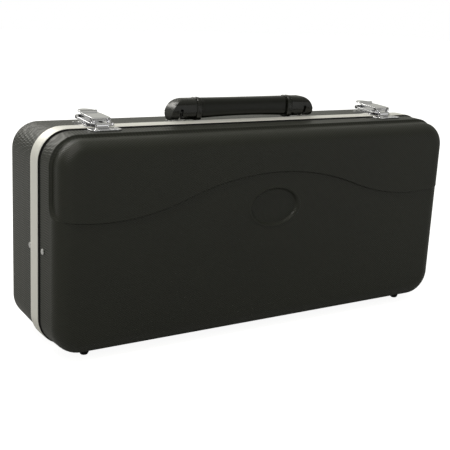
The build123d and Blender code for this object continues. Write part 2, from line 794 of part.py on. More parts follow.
def make_latch_base(x, name):
    """Riveted plate over the band and shell, with edge rims and a standing knuckle."""
    low = band_thickness + touch_gap
    high = low + latch_plate_thickness
    rim_top = high + latch_plate_rim_height
    half = latch_plate_half_width
    foot_low = -latch_foot_sink
    knuckle = latch_knuckle_half_width
    post_half = latch_post_half_depth
    post_front = latch_knuckle_back - post_half
    post_back = latch_knuckle_back + post_half
    with BuildPart() as plate:
        with BuildSketch(Plane.XY.offset(top_z + low)):
            length = latch_plate_back - latch_plate_front
            middle = parting_y + (latch_plate_front + latch_plate_back) / 2
            with Locations((x, middle)):
                RectangleRounded(2 * half, length, latch_plate_corner_radius)
        extrude(amount=latch_plate_thickness)
        foot = latch_points(
            [
                (latch_foot_front, foot_low),
                (latch_foot_back, foot_low),
                (latch_foot_back, low + touch_gap),
                (latch_foot_front, low + touch_gap),
            ]
        )
        add_profile(x - half + latch_plate_rim, x + half - latch_plate_rim, foot)
        rim = latch_points(
            [
                (latch_plate_front + latch_plate_corner_radius, high - touch_gap),
                (latch_foot_back, high - touch_gap),
                (latch_foot_back - latch_plate_rim_height, rim_top),
                (latch_plate_front + latch_plate_corner_radius + latch_plate_rim_height, rim_top),
            ]
        )
        add_profile(x - half, x - half + latch_plate_rim, rim)
        add_profile(x + half - latch_plate_rim, x + half, rim)
        post = latch_points(box_points(post_front, low, post_back, latch_knuckle_rise))
        add_profile(x - knuckle, x + knuckle, post)
        axis_y = parting_y + latch_knuckle_back
        axis_z = top_z + latch_knuckle_rise
        add_bar(x - knuckle, x + knuckle, axis_y, axis_z, latch_knuckle_radius)
        bore = latch_pin_radius + touch_gap
        add_bar(x - half, x + half, axis_y, axis_z, bore, mode=Mode.SUBTRACT)
        places = [p for p in latch_front_places + latch_back_places if abs(p[0] - x) < half]
        cut_round_holes(Plane.XY.offset(top_z + low), places, rivet_radius + fit_gap, wall)
    finish(plate, f"latch_base_{name}")
    with BuildPart() as pin:
        add_bar(x - hasp_half_width, x + hasp_half_width, axis_y, axis_z, latch_pin_radius)
    finish(pin, f"latch_hinge_pin_{name}")


def make_hasp(x, name):
    """Hasp plate hinged at its back, with turned-down sides, lugs for the lever's pin and a
    claw that drops in front of the catch."""
    half = hasp_half_width
    axis_y = parting_y + latch_knuckle_back
    axis_z = top_z + latch_knuckle_rise
    knuckle_clear = latch_knuckle_back - latch_knuckle_radius - catch_claw_gap
    front_top = hasp_front_rise + hasp_thickness
    back_top = hasp_back_rise
    slope = (back_top - front_top) / latch_knuckle_back
    clear_top = front_top + slope * knuckle_clear
    with BuildPart() as hasp:
        plate = [(0, hasp_front_rise), (knuckle_clear, clear_top - hasp_thickness)]
        plate += [(knuckle_clear, clear_top), (0, front_top)]
        add_profile(x - half, x + half, latch_points(plate))
        ears = [(knuckle_clear - touch_gap, clear_top - hasp_thickness)]
        ears += [(latch_knuckle_back, back_top - hasp_thickness), (latch_knuckle_back, back_top)]
        ears += [(knuckle_clear - touch_gap, clear_top)]
        inner = latch_knuckle_half_width + hinge_knuckle_gap
        for low, high in ((x - half, x - inner), (x + inner, x + half)):
            add_profile(low, high, latch_points(ears))
            add_bar(low, high, axis_y, axis_z, latch_knuckle_radius)
        claw = [(-claw_front, front_top), (-claw_front, claw_bottom)]
        claw += [(claw_thickness - claw_front, claw_bottom), (claw_thickness - claw_front, hasp_front_rise)]
        claw += [(touch_gap, hasp_front_rise), (touch_gap, front_top)]
        add_profile(x - claw_half_width, x + claw_half_width, latch_points(claw))
        rim_back = knuckle_clear - hasp_rim
        rim_top = front_top - hasp_thickness / 2
        rim = [(hasp_rim, hasp_rim_bottom), (rim_back, hasp_rim_bottom)]
        rim += [(rim_back, rim_top + slope * rim_back), (hasp_rim, rim_top + slope * hasp_rim)]
        add_profile(x - half, x - half + hasp_rim, latch_points(rim))
        add_profile(x + half - hasp_rim, x + half, latch_points(rim))
        pin_y = parting_y + lever_pin_forward
        pin_z = top_z + lever_pin_rise
        lug_out = lever_front_half_width - lever_ear_thickness - lever_ear_gap
        lug_in = lug_out - lever_lug_thickness
        post = [(lever_pin_forward - lever_lug_radius, front_top - touch_gap)]
        post += [(lever_pin_forward + lever_lug_radius, front_top - touch_gap)]
        post += [(lever_pin_forward + lever_lug_radius, lever_pin_rise)]
        post += [(lever_pin_forward - lever_lug_radius, lever_pin_rise)]
        for low, high in ((x - lug_out, x - lug_in), (x + lug_in, x + lug_out)):
            add_profile(low, high, latch_points(post))
            add_bar(low, high, pin_y, pin_z, lever_lug_radius)
        bore = latch_pin_radius + touch_gap
        add_bar(x - half, x + half, axis_y, axis_z, bore, mode=Mode.SUBTRACT)
        lever_bore = lever_pin_radius + touch_gap
        add_bar(x - half, x + half, pin_y, pin_z, lever_bore, mode=Mode.SUBTRACT)
    finish(hasp, f"latch_hasp_{name}")
    with BuildPart() as pin:
        half_pin = lever_front_half_width
        add_bar(x - half_pin, x + half_pin, pin_y, pin_z, lever_pin_radius)
    finish(pin, f"latch_lever_pin_{name}")


def lever_top(back):
    """Height of the lever's top face at a distance back from the parting line."""
    run = (back - lever_pin_forward) / (lever_length - lever_pin_forward)
    return lever_top_rise + lever_slope * run


def make_lever(x, name):
    """Lever on top of the hasp: tapering plate with a stepped thumb tab at the back, sides
    turned down to the pin and a front edge rolled over the pin."""
    pin_y = parting_y + lever_pin_forward
    pin_z = top_z + lever_pin_rise
    outer = lever_top_rise - lever_pin_rise
    inner = outer - lever_thickness
    fold = radians(90 + lever_fold_angle)
    half_fold = radians(90 + lever_fold_angle / 2)

    def on_fold(radius, angle):
        return (pin_y + radius * cos(angle), pin_z + radius * sin(angle))

    step_y = parting_y + lever_step_back
    end_y = parting_y + lever_length
    step_z = top_z + lever_top(lever_step_back)
    end_z = top_z + lever_top(lever_length) + lever_step
    half = lever_front_half_width
    tab = lever_tab_half_width
    ear_in = half - lever_ear_thickness
    with BuildPart() as plan:
        with BuildSketch(Plane.XY.offset(top_z)):
            shoulder = pin_y + lever_taper_start
            tab_centre = end_y - tab
            front = parting_y - outer
            right = [(half, front), (half, shoulder), (tab, step_y), (tab, tab_centre)]
            right = [(x + across, y) for across, y in right]
            left = [(2 * x - px, py) for px, py in right[::-1]]
            with BuildLine():
                Polyline(right)
                ThreePointArc(right[-1], (x, end_y), left[0])
                Polyline(left + right[:1])
            make_face()
        extrude(amount=2 * lever_top_rise)
    with BuildPart() as lever:
        with BuildSketch(side_plane(x - half)):
            with BuildLine():
                Line((pin_y, pin_z + outer), (step_y, step_z))
                Line((step_y, step_z), (step_y + lever_step, step_z + lever_step))
                Line((step_y + lever_step, step_z + lever_step), (end_y, end_z))
                Line((end_y, end_z), (end_y, end_z - lever_thickness))
                low_step = (step_y + lever_step, step_z + lever_step - lever_thickness)
                Line((end_y, end_z - lever_thickness), low_step)
                Line(low_step, (step_y, step_z - lever_thickness))
                Line((step_y, step_z - lever_thickness), (pin_y, pin_z + inner))
                ThreePointArc((pin_y, pin_z + inner), on_fold(inner, half_fold), on_fold(inner, fold))
                Line(on_fold(inner, fold), on_fold(outer, fold))
                ThreePointArc(on_fold(outer, fold), on_fold(outer, half_fold), (pin_y, pin_z + outer))
            make_face()
        extrude(amount=2 * half)
        ear = lever_lug_radius
        skirt_back = lever_step_back - lever_skirt
        skirt_low = lever_top(skirt_back) - lever_thickness - lever_skirt / 2
        skirt = [(lever_pin_forward - ear, lever_pin_rise), (lever_pin_forward + ear, lever_pin_rise)]
        skirt += [(skirt_back, skirt_low), (skirt_back, lever_top(skirt_back) - lever_thickness / 2)]
        skirt += [(lever_pin_forward, lever_top_rise - lever_thickness / 2)]
        for low, high in ((x - half, x - ear_in), (x + ear_in, x + half)):
            add_profile(low, high, latch_points(skirt))
            add_bar(low, high, pin_y, pin_z, ear)
        add(plan.part, mode=Mode.INTERSECT)
        bore = lever_pin_radius + touch_gap
        add_bar(x - half, x + half, pin_y, pin_z, bore, mode=Mode.SUBTRACT)
    finish(lever, f"latch_lever_{name}")


def make_catch(x, name):
    """Catch plate on the lid with the lip that the claw drops over."""
    back = seam_gap + catch_edge_gap
    lip_front = claw_front - claw_thickness - catch_claw_gap
    lip_back = lip_front - catch_lip_thickness
    low = touch_gap
    high = low + catch_thickness
    with BuildPart() as catch:
        with BuildSketch(Plane.XY.offset(top_z + low)):
            with Locations((x, parting_y - back - catch_depth / 2)):
                RectangleRounded(2 * catch_half_width, catch_depth, catch_corner_radius)
        extrude(amount=catch_thickness)
        lip = latch_points(box_points(-lip_front, low, -lip_back, catch_lip_rise))
        add_profile(x - claw_half_width, x + claw_half_width, lip)
        places = [p for p in catch_places if abs(p[0] - x) < catch_half_width]
        cut_round_holes(Plane.XY.offset(top_z + high), places, rivet_radius + fit_gap, wall)
    finish(catch, f"catch_plate_{name}")


def make_latches():
    """Both draw latches and their rivets."""
    for side, name in ((-1, "left"), (1, "right")):
        x = side * latch_spread
        make_latch_base(x, name)
        make_hasp(x, name)
        make_lever(x, name)
        make_catch(x, name)
    plate_top = top_z + band_thickness + latch_plate_thickness + 2 * touch_gap
    front_grip = plate_top - (top_z - flange_inner_inset - touch_gap)
    back_y_low = parting_y + latch_rivet_back + rivet_head_radius
    back_grip = plate_top - (top_z - base_surface_drop(back_y_low) - wall - touch_gap)
    with BuildPart() as rivets:
        for places, grip in ((latch_front_places, front_grip), (latch_back_places, back_grip)):
            form = shell_rivet(grip)
            for px, py in places:
                with Locations(Location((px, py, plate_top))):
                    add(form)
    finish(rivets, "latch_base_rivets")
    catch_top = top_z + catch_thickness + 2 * touch_gap
    catch_low = parting_y - catch_rivet_front - rivet_head_radius
    catch_grip = catch_top - (top_z - lid_surface_drop(catch_low) - wall - touch_gap)
    heads = [(px, py, catch_top) for px, py in catch_places]
    make_rivets("catch_rivets", shell_rivet(catch_grip), heads, (0, 0, 1))


def handle_section(low_x, high_x, half_thickness, top_rise, bottom_radius):
    """Bar along X with an upright section: round bottom about the pivot, soft top corners."""
    straight_low = handle_z
    top = top_z + top_rise
    with BuildPart() as bar:
        with BuildSketch(side_plane(low_x)):
            with Locations((handle_y, handle_z)):
                Circle(bottom_radius)
            with Locations((handle_y, (straight_low + top) / 2)):
                Rectangle(2 * half_thickness, top - straight_low)
        extrude(amount=high_x - low_x)
        top_face = bar.faces().filter_by(Axis.Z).sort_by(Axis.Z)[-1]
        fillet(top_face.edges().filter_by(Axis.X), grip_edge_radius)
    return bar.part


def make_cap(side, name):
    """Moulded end of the handle: rounded nose down to the shell, slotted for the bracket's
    ear, bored for the pin and pocketed for the strap."""
    inner_x = handle_half_length - cap_length
    half = handle_half_thickness
    body = handle_section(inner_x, handle_half_length, half, handle_top_rise, handle_pivot_radius)
    low = top_z
    top = top_z + handle_top_rise
    nose_x = handle_half_length - cap_nose_length
    nose_end = (handle_half_length, top - cap_nose_drop)
    turn = radians(45)
    crown = (nose_x + cap_nose_length * sin(turn), top - cap_nose_drop * (1 - cos(turn)))
    with BuildPart() as cap:
        with BuildSketch(length_plane(handle_y - half)):
            with BuildLine():
                Polyline(nose_end, (handle_half_length, low), (inner_x, low), (inner_x, top), (nose_x, top))
                ThreePointArc((nose_x, top), crown, nose_end)
            make_face()
        extrude(amount=-2 * half)
        add(body, mode=Mode.INTERSECT)
        slot_half = bracket_ear_thickness / 2 + bracket_slot_gap
        slot_top = handle_z + bracket_ear_half_width + bracket_slot_gap
        slot = box_points(handle_y - 2 * half, low - wall, handle_y + 2 * half, slot_top)
        slot_low = bracket_spread - slot_half
        slot_high = bracket_spread + slot_half
        add_profile(slot_low, slot_high, slot, mode=Mode.SUBTRACT)
        bore_half = handle_pin_length / 2 + touch_gap
        bore = handle_pin_radius + touch_gap
        bore_low = bracket_spread - bore_half
        bore_high = bracket_spread + bore_half
        add_bar(bore_low, bore_high, handle_y, handle_z, bore, mode=Mode.SUBTRACT)
        pocket_end = inner_x + strap_pocket + strap_gap
        add_profile(inner_x, pocket_end, strap_points(strap_gap), mode=Mode.SUBTRACT)
    with BuildPart() as placed:
        if side > 0:
            add(cap.part)
        else:
            add(mirror(cap.part, about=Plane.YZ))
    finish(placed, f"handle_cap_{name}")


def strap_points(gap):
    """Section of the steel strap inside the handle, widened by gap, in Y and Z."""
    half_width = strap_width / 2 + gap
    half_thickness = strap_thickness / 2 + gap
    z = top_z + strap_rise
    return box_points(handle_y - half_width, z - half_thickness, handle_y + half_width, z + half_thickness)


def make_handle():
    """Grip, bands, caps, strap, brackets, pins and bracket rivets of the handle."""
    make_cap(-1, "left")
    make_cap(1, "right")
    band_outer = handle_half_length - cap_length - touch_gap
    band_inner = band_outer - band_length
    for side, name in ((-1, "left"), (1, "right")):
        low = min(side * band_inner, side * band_outer)
        high = low + band_length
        half = handle_half_thickness + band_proud
        bottom = handle_pivot_radius + band_proud
        body = handle_section(low, high, half, handle_top_rise + band_proud, bottom)
        with BuildPart() as band:
            add(body)
            slot = strap_points(strap_gap)
            add_profile(low - touch_gap, high + touch_gap, slot, mode=Mode.SUBTRACT)
        finish(band, f"handle_band_{name}")
    grip_half = band_inner - touch_gap
    low = top_z + grip_end_bottom
    top = top_z + handle_top_rise
    with BuildPart() as grip:
        with BuildSketch(length_plane(handle_y)):
            with BuildLine():
                ThreePointArc((-grip_half, low), (0, low + grip_arch), (grip_half, low))
                Polyline((grip_half, low), (grip_half, top), (-grip_half, top), (-grip_half, low))
            make_face()
        extrude(amount=handle_half_thickness, both=True)
        long_edges = grip.edges().filter_by(lambda e: e.length > grip_half)
        fillet(long_edges, grip_edge_radius)
        slot = strap_points(strap_gap)
        add_profile(-grip_half - touch_gap, grip_half + touch_gap, slot, mode=Mode.SUBTRACT)
    finish(grip, "handle_grip")
    strap_half = handle_half_length - cap_length + strap_pocket
    with BuildPart() as strap:
        add_profile(-strap_half, strap_half, strap_points(0))
    finish(strap, "handle_strap")
    for side, name in ((-1, "left"), (1, "right")):
        x = side * bracket_spread
        low = top_z - bracket_plate_sink
        high = low + bracket_plate_thickness
        with BuildPart() as bracket:
            with BuildSketch(Plane.XY.offset(low)):
                with Locations((x, handle_y)):
                    RectangleRounded(bracket_plate_length, 2 * bracket_plate_half_depth, rivet_radius)
            extrude(amount=bracket_plate_thickness)
            ear_low = x - bracket_ear_thickness / 2
            ear_high = x + bracket_ear_thickness / 2
            half = bracket_ear_half_width
            ear = box_points(handle_y - half, high - touch_gap, handle_y + half, handle_z)
            add_profile(ear_low, ear_high, ear)
            add_bar(ear_low, ear_high, handle_y, handle_z, half)
            bore = handle_pin_radius + touch_gap
            add_bar(ear_low, ear_high, handle_y, handle_z, bore, mode=Mode.SUBTRACT)
            places = [p for p in bracket_places if abs(p[0] - x) < bracket_plate_length]
            cut_round_holes(Plane.XY.offset(low), places, rivet_radius + fit_gap, wall)
        finish(bracket, f"handle_bracket_{name}")
    with BuildPart() as pins:
        for side in (-1, 1):
            low = side * bracket_spread - handle_pin_length / 2
            add_bar(low, low + handle_pin_length, handle_y, handle_z, handle_pin_radius)
    finish(pins, "handle_pins")
    head_z = top_z - bracket_plate_sink + bracket_plate_thickness + touch_gap
    inner_drop = base_surface_drop(handle_y + bracket_rivet_side + rivet_head_radius)
    grip_length = head_z - (top_z - inner_drop - wall - touch_gap)
    heads = [(px, py, head_z) for px, py in bracket_places]
    make_rivets("bracket_rivets", shell_rivet(grip_length), heads, (0, 0, 1))


# Insert levels, measured in Z, and depths, measured in Y
insert_low = bottom_z + insert_margin
insert_high = top_z - insert_margin
insert_front = parting_y + insert_front_gap
floor_pad_back = back_y - wall - insert_seat_gap
floor_pad_front = floor_pad_back - floor_pad_thickness
block_back = floor_pad_front - block_gap
tray_top = insert_low + tray_height
mouthpiece_low = insert_high - mouthpiece_block_height


def add_block(low_x, high_x, low_z, high_z, front, back):
    """Upright block given by its corners."""
    with BuildSketch(length_plane(front)) as face:
        with Locations(((low_x + high_x) / 2, (low_z + high_z) / 2)):
            Rectangle(high_x - low_x, high_z - low_z)
    extrude(face.sketch, amount=front - back)


def round_outer_corner(builder, x, z):
    """Round the upright-to-depth edge of a block nearest the case corner at x and z."""
    corner = Vertex(x, insert_front, z)
    edges = builder.edges().filter_by(Axis.Y)
    fillet(edges.sort_by_distance(corner)[0], insert_corner_radius)


def make_bell_block(name, level):
    """Foam block beside the bell: flat outside, stepped for the valves and flared inside."""
    outer = insert_low if level < 0 else insert_high
    inward = -level
    half = insert_half_length
    bell_x = half - end_pad_thickness - block_gap
    throat = mid_z + level * throat_half_height
    bell = mid_z + level * bell_half_height
    valve = outer + inward * valve_pad_thickness
    middle_x = (bay_split_right + bell_x) / 2
    middle_z = (throat + bell) / 2 + inward * bell_flare_sag
    with BuildPart() as block:
        with BuildSketch(length_plane(insert_front)):
            with BuildLine():
                Polyline((bay_split_right, throat), (bay_split_right, valve), (bay_split_left, valve))
                Polyline((bay_split_left, valve), (bay_split_left, outer), (half, outer), (half, bell))
                Line((half, bell), (bell_x, bell))
                ThreePointArc((bell_x, bell), (middle_x, middle_z), (bay_split_right, throat))
            make_face()
        extrude(amount=insert_front - block_back)
        round_outer_corner(block, half, outer)
    finish(block, name)


def make_insert():
    """Padded pieces of the base and the pad of the lid."""
    with BuildPart() as floor_pad:
        with BuildSketch(back_plane(floor_pad_front)):
            outline(floor_pad_margin)
        extrude(amount=floor_pad_thickness)
    finish(floor_pad, "insert_floor_pad")
    left = -insert_half_length
    right = bay_split_left - block_gap
    with BuildPart() as tray:
        add_block(left, right, insert_low, tray_top, insert_front, block_back)
        round_outer_corner(tray, left, insert_low)
        with BuildSketch(length_plane(insert_front)):
            with Locations(((left + right) / 2, (insert_low + tray_top) / 2)):
                Rectangle(right - left - 2 * tray_wall, tray_height - 2 * tray_wall)
        extrude(amount=insert_front - block_back + tray_floor, mode=Mode.SUBTRACT)
    finish(tray, "accessory_tray")
    with BuildPart() as mouthpiece_block:
        add_block(left, right, mouthpiece_low, insert_high, insert_front, block_back)
        round_outer_corner(mouthpiece_block, left, insert_high)
        with BuildSketch(length_plane(insert_front)):
            with Locations(((left + right) / 2, (mouthpiece_low + insert_high) / 2)):
                with GridLocations(mouthpiece_hole_pitch, 1, mouthpiece_hole_count, 1):
                    Circle(mouthpiece_hole_radius)
        extrude(amount=-mouthpiece_hole_depth, mode=Mode.SUBTRACT)
    finish(mouthpiece_block, "mouthpiece_block")
    low = tray_top + block_gap
    high = mouthpiece_low - block_gap
    with BuildPart() as slide_block:
        block_left = left + end_pad_thickness + block_gap
        add_block(block_left, right, low, high, parting_y + slide_bay_depth, block_back)
    finish(slide_block, "slide_block")
    with BuildPart() as end_pad:
        add_block(left, left + end_pad_thickness, low, high, insert_front, block_back)
    finish(end_pad, "end_pad_left")
    make_bell_block("bell_block_low", -1)
    make_bell_block("bell_block_high", 1)
    with BuildPart() as end_pad:
        edge = bell_half_height - block_gap
        pad_left = insert_half_length - end_pad_thickness
        add_block(pad_left, insert_half_length, mid_z - edge, mid_z + edge, insert_front, block_back)
    finish(end_pad, "end_pad_right")
    with BuildPart() as lid_pad:
        start = lid_face_y + wall + insert_seat_gap
        with BuildSketch(back_plane(start)):
            outline(lid_pad_margin)
        extrude(amount=lid_pad_thickness)
        fillet(lid_pad.faces().sort_by(Axis.Y)[-1].edges(), lid_pad_edge_radius)
    finish(lid_pad, "lid_pad")


make_back_shell()
make_lid_shell()
make_valance()
make_lid_strip()
make_seal()
make_all_feet()
make_hinges()
make_stays()
make_latches()
make_handle()
make_insert()
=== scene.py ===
"""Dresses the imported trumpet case: moulded shells, aluminium valance, chromed latches, padded
handle and plush insert, on a plain studio floor. Everything is in metres, in the CAD's frame."""

import json
from functools import partial, wraps

import bmesh
import bpy
import numpy as np
from bpy.props import FloatProperty, FloatVectorProperty, IntProperty, PointerProperty
from bpy.types import NodeSocket, Operator, Panel, PropertyGroup
from mathutils import Matrix, Vector
from numpy import array, clip, concatenate, cos, hypot, interp, linspace, maximum, minimum
from numpy import pi, radians, sin, sqrt, stack, tan, where, zeros

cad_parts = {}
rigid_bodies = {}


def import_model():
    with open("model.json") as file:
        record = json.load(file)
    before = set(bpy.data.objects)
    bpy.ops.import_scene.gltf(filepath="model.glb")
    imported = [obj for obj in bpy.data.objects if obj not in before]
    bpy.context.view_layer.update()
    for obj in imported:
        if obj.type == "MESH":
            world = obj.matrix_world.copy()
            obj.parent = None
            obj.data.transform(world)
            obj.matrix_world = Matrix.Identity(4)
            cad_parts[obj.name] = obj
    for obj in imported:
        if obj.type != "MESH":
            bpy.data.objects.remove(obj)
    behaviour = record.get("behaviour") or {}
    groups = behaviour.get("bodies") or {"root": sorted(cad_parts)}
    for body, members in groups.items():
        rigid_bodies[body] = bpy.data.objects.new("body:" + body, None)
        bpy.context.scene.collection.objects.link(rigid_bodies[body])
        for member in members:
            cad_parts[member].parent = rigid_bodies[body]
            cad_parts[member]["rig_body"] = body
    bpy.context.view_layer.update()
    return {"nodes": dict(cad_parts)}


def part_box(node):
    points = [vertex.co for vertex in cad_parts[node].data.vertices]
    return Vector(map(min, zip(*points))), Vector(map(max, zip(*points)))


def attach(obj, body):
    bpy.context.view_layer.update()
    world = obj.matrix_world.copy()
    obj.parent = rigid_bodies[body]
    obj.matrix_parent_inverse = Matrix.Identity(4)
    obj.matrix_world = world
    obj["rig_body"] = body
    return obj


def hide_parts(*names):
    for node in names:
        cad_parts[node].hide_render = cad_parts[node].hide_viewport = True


bl_info = {
    "name": "Trumpet case dressing",
    "version": (1, 0, 0),
    "blender": (4, 5, 0),
    "location": "View3D > Sidebar > Case",
    "description": "Builds the visible shells, valance, latches, handle and lining of the case",
    "category": "Object",
}

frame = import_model()

# Sizes and places of the case
HALF_LENGTH = 0.270
HALF_HEIGHT = 0.1185
MID_Z = 0.125
TOP_Z = MID_Z + HALF_HEIGHT
BOTTOM_Z = MID_Z - HALF_HEIGHT
CORNER = 0.033
EDGE = 0.018
WALL = 0.0028
PARTING_Y = -0.025
LID_EDGE_Y = -0.0262
LID_FACE_Y = -0.075
FRONT_Y = -0.077
RIM_Y = -0.052
SHELL_EDGE_Y = -0.0189
BACK_Y = 0.077
LID_DRAFT = tan(radians(1.3))
BASE_DRAFT = tan(radians(2.0))
BASE_INSET = 0.0001
PANEL_INSET = 0.0030
WAVE_LOW = BOTTOM_Z + 0.1465
WAVE_RISE = 0.040
WAVE_REACH = 0.215
CREST_RADIUS = 0.330
VALLEY_RADIUS = (WAVE_REACH**2 + WAVE_RISE**2) / (2 * WAVE_RISE) - CREST_RADIUS
OVAL_Z = BOTTOM_Z + 0.1455
OVAL_HALF_X = 0.0325
OVAL_HALF_Z = 0.0215
BAND_OUT = 0.0016
BAND_BACK_Y = -0.005
HINGE_X = 0.150
LATCH_X = 0.1995
LATCH_HALF = 0.018
LEVER_PIN = (PARTING_Y + 0.0015, TOP_Z + 0.0085)
LEVER_EYE = 0.0017
KNUCKLE = (PARTING_Y + 0.038, TOP_Z + 0.0080)
KNUCKLE_RADIUS = 0.0024
PLATE = 0.0013
THIN_PLATE = 0.00125
PLATE_EDGE = 0.0005
HANDLE_Y = 0.0055
HANDLE_HIGH = 0.0262
FOOT_X = 0.228


# Sizes and colours that a user would change

colour_value = partial(FloatVectorProperty, subtype="COLOR", min=0, max=1)
length_value = partial(FloatProperty, unit="LENGTH")


class CaseShellLook(PropertyGroup):
    """Moulded shells."""

    colour: colour_value(
        name="Shell colour", description="Colour of the plastic", default=(0.0152, 0.0165, 0.0110)
    )
    grain_width: length_value(
        name="Grain width", description="Width of an embossed diamond along the case", default=0.0037
    )
    grain_height: length_value(
        name="Grain height", description="Height of an embossed diamond", default=0.0026
    )
    grain_depth: length_value(
        name="Grain depth", description="Depth of the embossed diamonds", default=0.00030
    )
    wall_stretch: FloatProperty(
        name="Wall stretch", description="Share of the pattern left along the walls", default=0.1
    )
    # Width of the painted shadow strip along the lid's edge beside the valance.
    gap_shadow_width: length_value(
        name="Lip width", description="Width of the lid's dark lip beside the valance", default=0.0032
    )
    step_width: length_value(
        name="Step width", description="How softly the raised panel rises", default=0.0016
    )
    step_corner: length_value(
        name="Step corner", description="Rounding where the side turns into the wave", default=0.016
    )
    oval_recess: length_value(
        name="Oval recess", description="Depth of the bare oval", default=0.0025
    )
    oval_edge: length_value(
        name="Oval edge", description="Width of the oval's sloping edge at its ends", default=0.0031
    )
    oval_lip: length_value(
        name="Oval lip", description="Height of the soft lip round the oval", default=0.0009
    )


class CaseMetalLook(PropertyGroup):
    """Valance, latches and rivets."""

    aluminium: colour_value(
        name="Aluminium", description="Colour of the valance", default=(0.84, 0.83, 0.79)
    )
    chrome: colour_value(
        name="Chrome", description="Colour of the latches", default=(0.80, 0.80, 0.83)
    )
    band_edge: length_value(
        name="Band edge", description="Rounding of the valance's edges", default=0.0005
    )


class CaseHandleLook(PropertyGroup):
    """Carrying handle."""

    colour: colour_value(
        name="Handle colour", description="Colour of grip and ends", default=(0.0052, 0.0058, 0.0034)
    )
    arch: length_value(
        name="Arch", description="Rise of the grip's underside at its middle", default=0.0018
    )


class CaseLiningLook(PropertyGroup):
    """Plush insert."""

    colour: colour_value(
        name="Lining colour", description="Colour of the plush", default=(0.028, 0.028, 0.033)
    )
    softness: length_value(
        name="Edge softness", description="Rounding of the padded edges", default=0.004
    )


class CaseStageLook(PropertyGroup):
    """Floor, lights and camera."""

    floor: colour_value(
        name="Floor colour", description="Colour of the studio floor", default=(0.46, 0.46, 0.455)
    )
    key_power: FloatProperty(
        name="Key light", description="Watts of the light overhead at the left", default=16.0
    )
    left_power: FloatProperty(
        name="Left light", description="Watts of the broad light beside the case", default=0.8
    )
    back_power: FloatProperty(
        name="Back light", description="Watts of the light behind the case", default=10.0
    )
    horizon: FloatProperty(
        name="Room at the horizon", description="Room's light at eye level", default=0.24
    )
    zenith: FloatProperty(
        name="Room overhead", description="Room's light from above", default=0.54
    )
    backdrop: FloatProperty(
        name="Backdrop", description="Strength of the white sweep behind the case", default=0.22
    )
    sweep_floor: FloatProperty(
        name="Floor of the sweep", description="Mirrored light of the floor behind", default=0.16
    )
    front_floor: FloatProperty(
        name="Floor in front", description="Mirrored light of the floor far in front", default=0.60
    )
    lens: FloatProperty(
        name="Lens", description="Focal length in millimetres on a 36 mm sensor", default=72.756
    )
    floor_size: IntProperty(name="Floor size", description="Width of the floor in metres", default=12)


# Shapes


def arcs(start, end, count, endpoint=True):
    """Evenly spaced angles between two given in degrees."""
    return radians(linspace(start, end, count, endpoint=endpoint))


def columns(long_count, short_count, corner_count):
    """Rounded rectangle as unit values: (u, v) is the place on the core rectangle and (n, m)
    the outward direction; a point is core size times (u, v) plus corner radius times (n, m).
    The second half is the first turned round."""
    run = linspace(-1, 1, long_count, endpoint=False)
    rise = linspace(-1, 1, short_count, endpoint=False)
    arc = arcs(0, 90, corner_count, False)
    one = 0 * arc + 1
    half = [
        concatenate([run, one, 0 * rise + 1, one]),
        concatenate([0 * run + 1, one, -rise, -one]),
        concatenate([0 * run, sin(arc), 0 * rise + 1, cos(arc)]),
        concatenate([0 * run + 1, cos(arc), 0 * rise, -sin(arc)]),
    ]
    return concatenate([array(half), -array(half)], axis=1)


def ring(inset, shape, half_x=HALF_LENGTH, half_z=HALF_HEIGHT, corner=CORNER):
    """X and Z of the outline drawn in by inset: the corner radius shrinks with the inset, and
    past it the core rectangle does."""
    u, v, n, m = shape
    inset = np.atleast_1d(inset)[:, None]
    radius = maximum(corner - inset, 0)
    x = (half_x - inset - radius) * u + radius * n
    z = (half_z - inset - radius) * v + radius * m + MID_Z
    return x, z


def block_profile(run, extra, face_y, edge, mouth_y, draft):
    """Inset and depth along a drafted block's profile, from the edge of its face (run 0) round
    a quarter circle of radius edge and down the wall. Negative runs lie on the flat face. The
    inset at depth y is extra + draft |mouth_y - y| + edge (1 - sin(run / edge))."""
    way = np.sign(mouth_y - face_y)
    turn = clip(run / edge, 0, pi / 2)
    on_wall = maximum(run - edge * pi / 2, 0)
    depth = face_y + way * (edge * (1 - cos(turn)) + on_wall)
    inset = extra + draft * abs(mouth_y - depth) + edge * (1 - sin(turn)) - minimum(run, 0)
    return inset, depth


def face_inset(extra, face_y, edge, mouth_y, draft):
    """Inset of the edge of a block's flat face."""
    return block_profile(zeros(1), extra, face_y, edge, mouth_y, draft)[0]


def wave(x):
    """Height of the panel's lower edge and its slope: a crest circle in the middle that runs
    smoothly into a valley circle on each side."""
    far = abs(x)
    offset = far - WAVE_REACH
    crest = sqrt(maximum(CREST_RADIUS**2 - far**2, 1e-9))
    valley = sqrt(maximum(VALLEY_RADIUS**2 - offset**2, 1e-9))
    middle = far < WAVE_REACH * CREST_RADIUS / (CREST_RADIUS + VALLEY_RADIUS)
    rise = where(middle, WAVE_RISE - CREST_RADIUS + crest, VALLEY_RADIUS - valley)
    return WAVE_LOW + rise, where(middle, far / crest, offset / valley)


def smooth_step(value):
    """3t^2 - 2t^3 of the value held between 0 and 1."""
    t = clip(value, 0, 1)
    return t * t * (3 - 2 * t)


def panel_share(x, z, forward, width, corner):
    """How far a point belongs to the raised panel: the distance inside both the rim line and
    the wave, with the corner between them rounded, passed through a smooth step."""
    height, slope = wave(x)
    above = (z - height) / sqrt(1 + slope**2)
    forward = forward + 0 * above
    rounded = corner - hypot(corner - forward, corner - above)
    inside = where((forward < corner) & (above < corner), rounded, minimum(forward, above))
    return smooth_step(inside / width + 0.5)


def grid_quads(rows, count, closed=True):
    """Quads between neighbouring rows of count points each, closed round the rows or not."""
    j, k = np.meshgrid(np.arange(rows - 1), np.arange(count if closed else count - 1), indexing="ij")
    after, row, next_row = (k + 1) % count, j * count, (j + 1) * count
    return stack([row + k, row + after, next_row + after, next_row + k], -1).reshape(-1, 4)


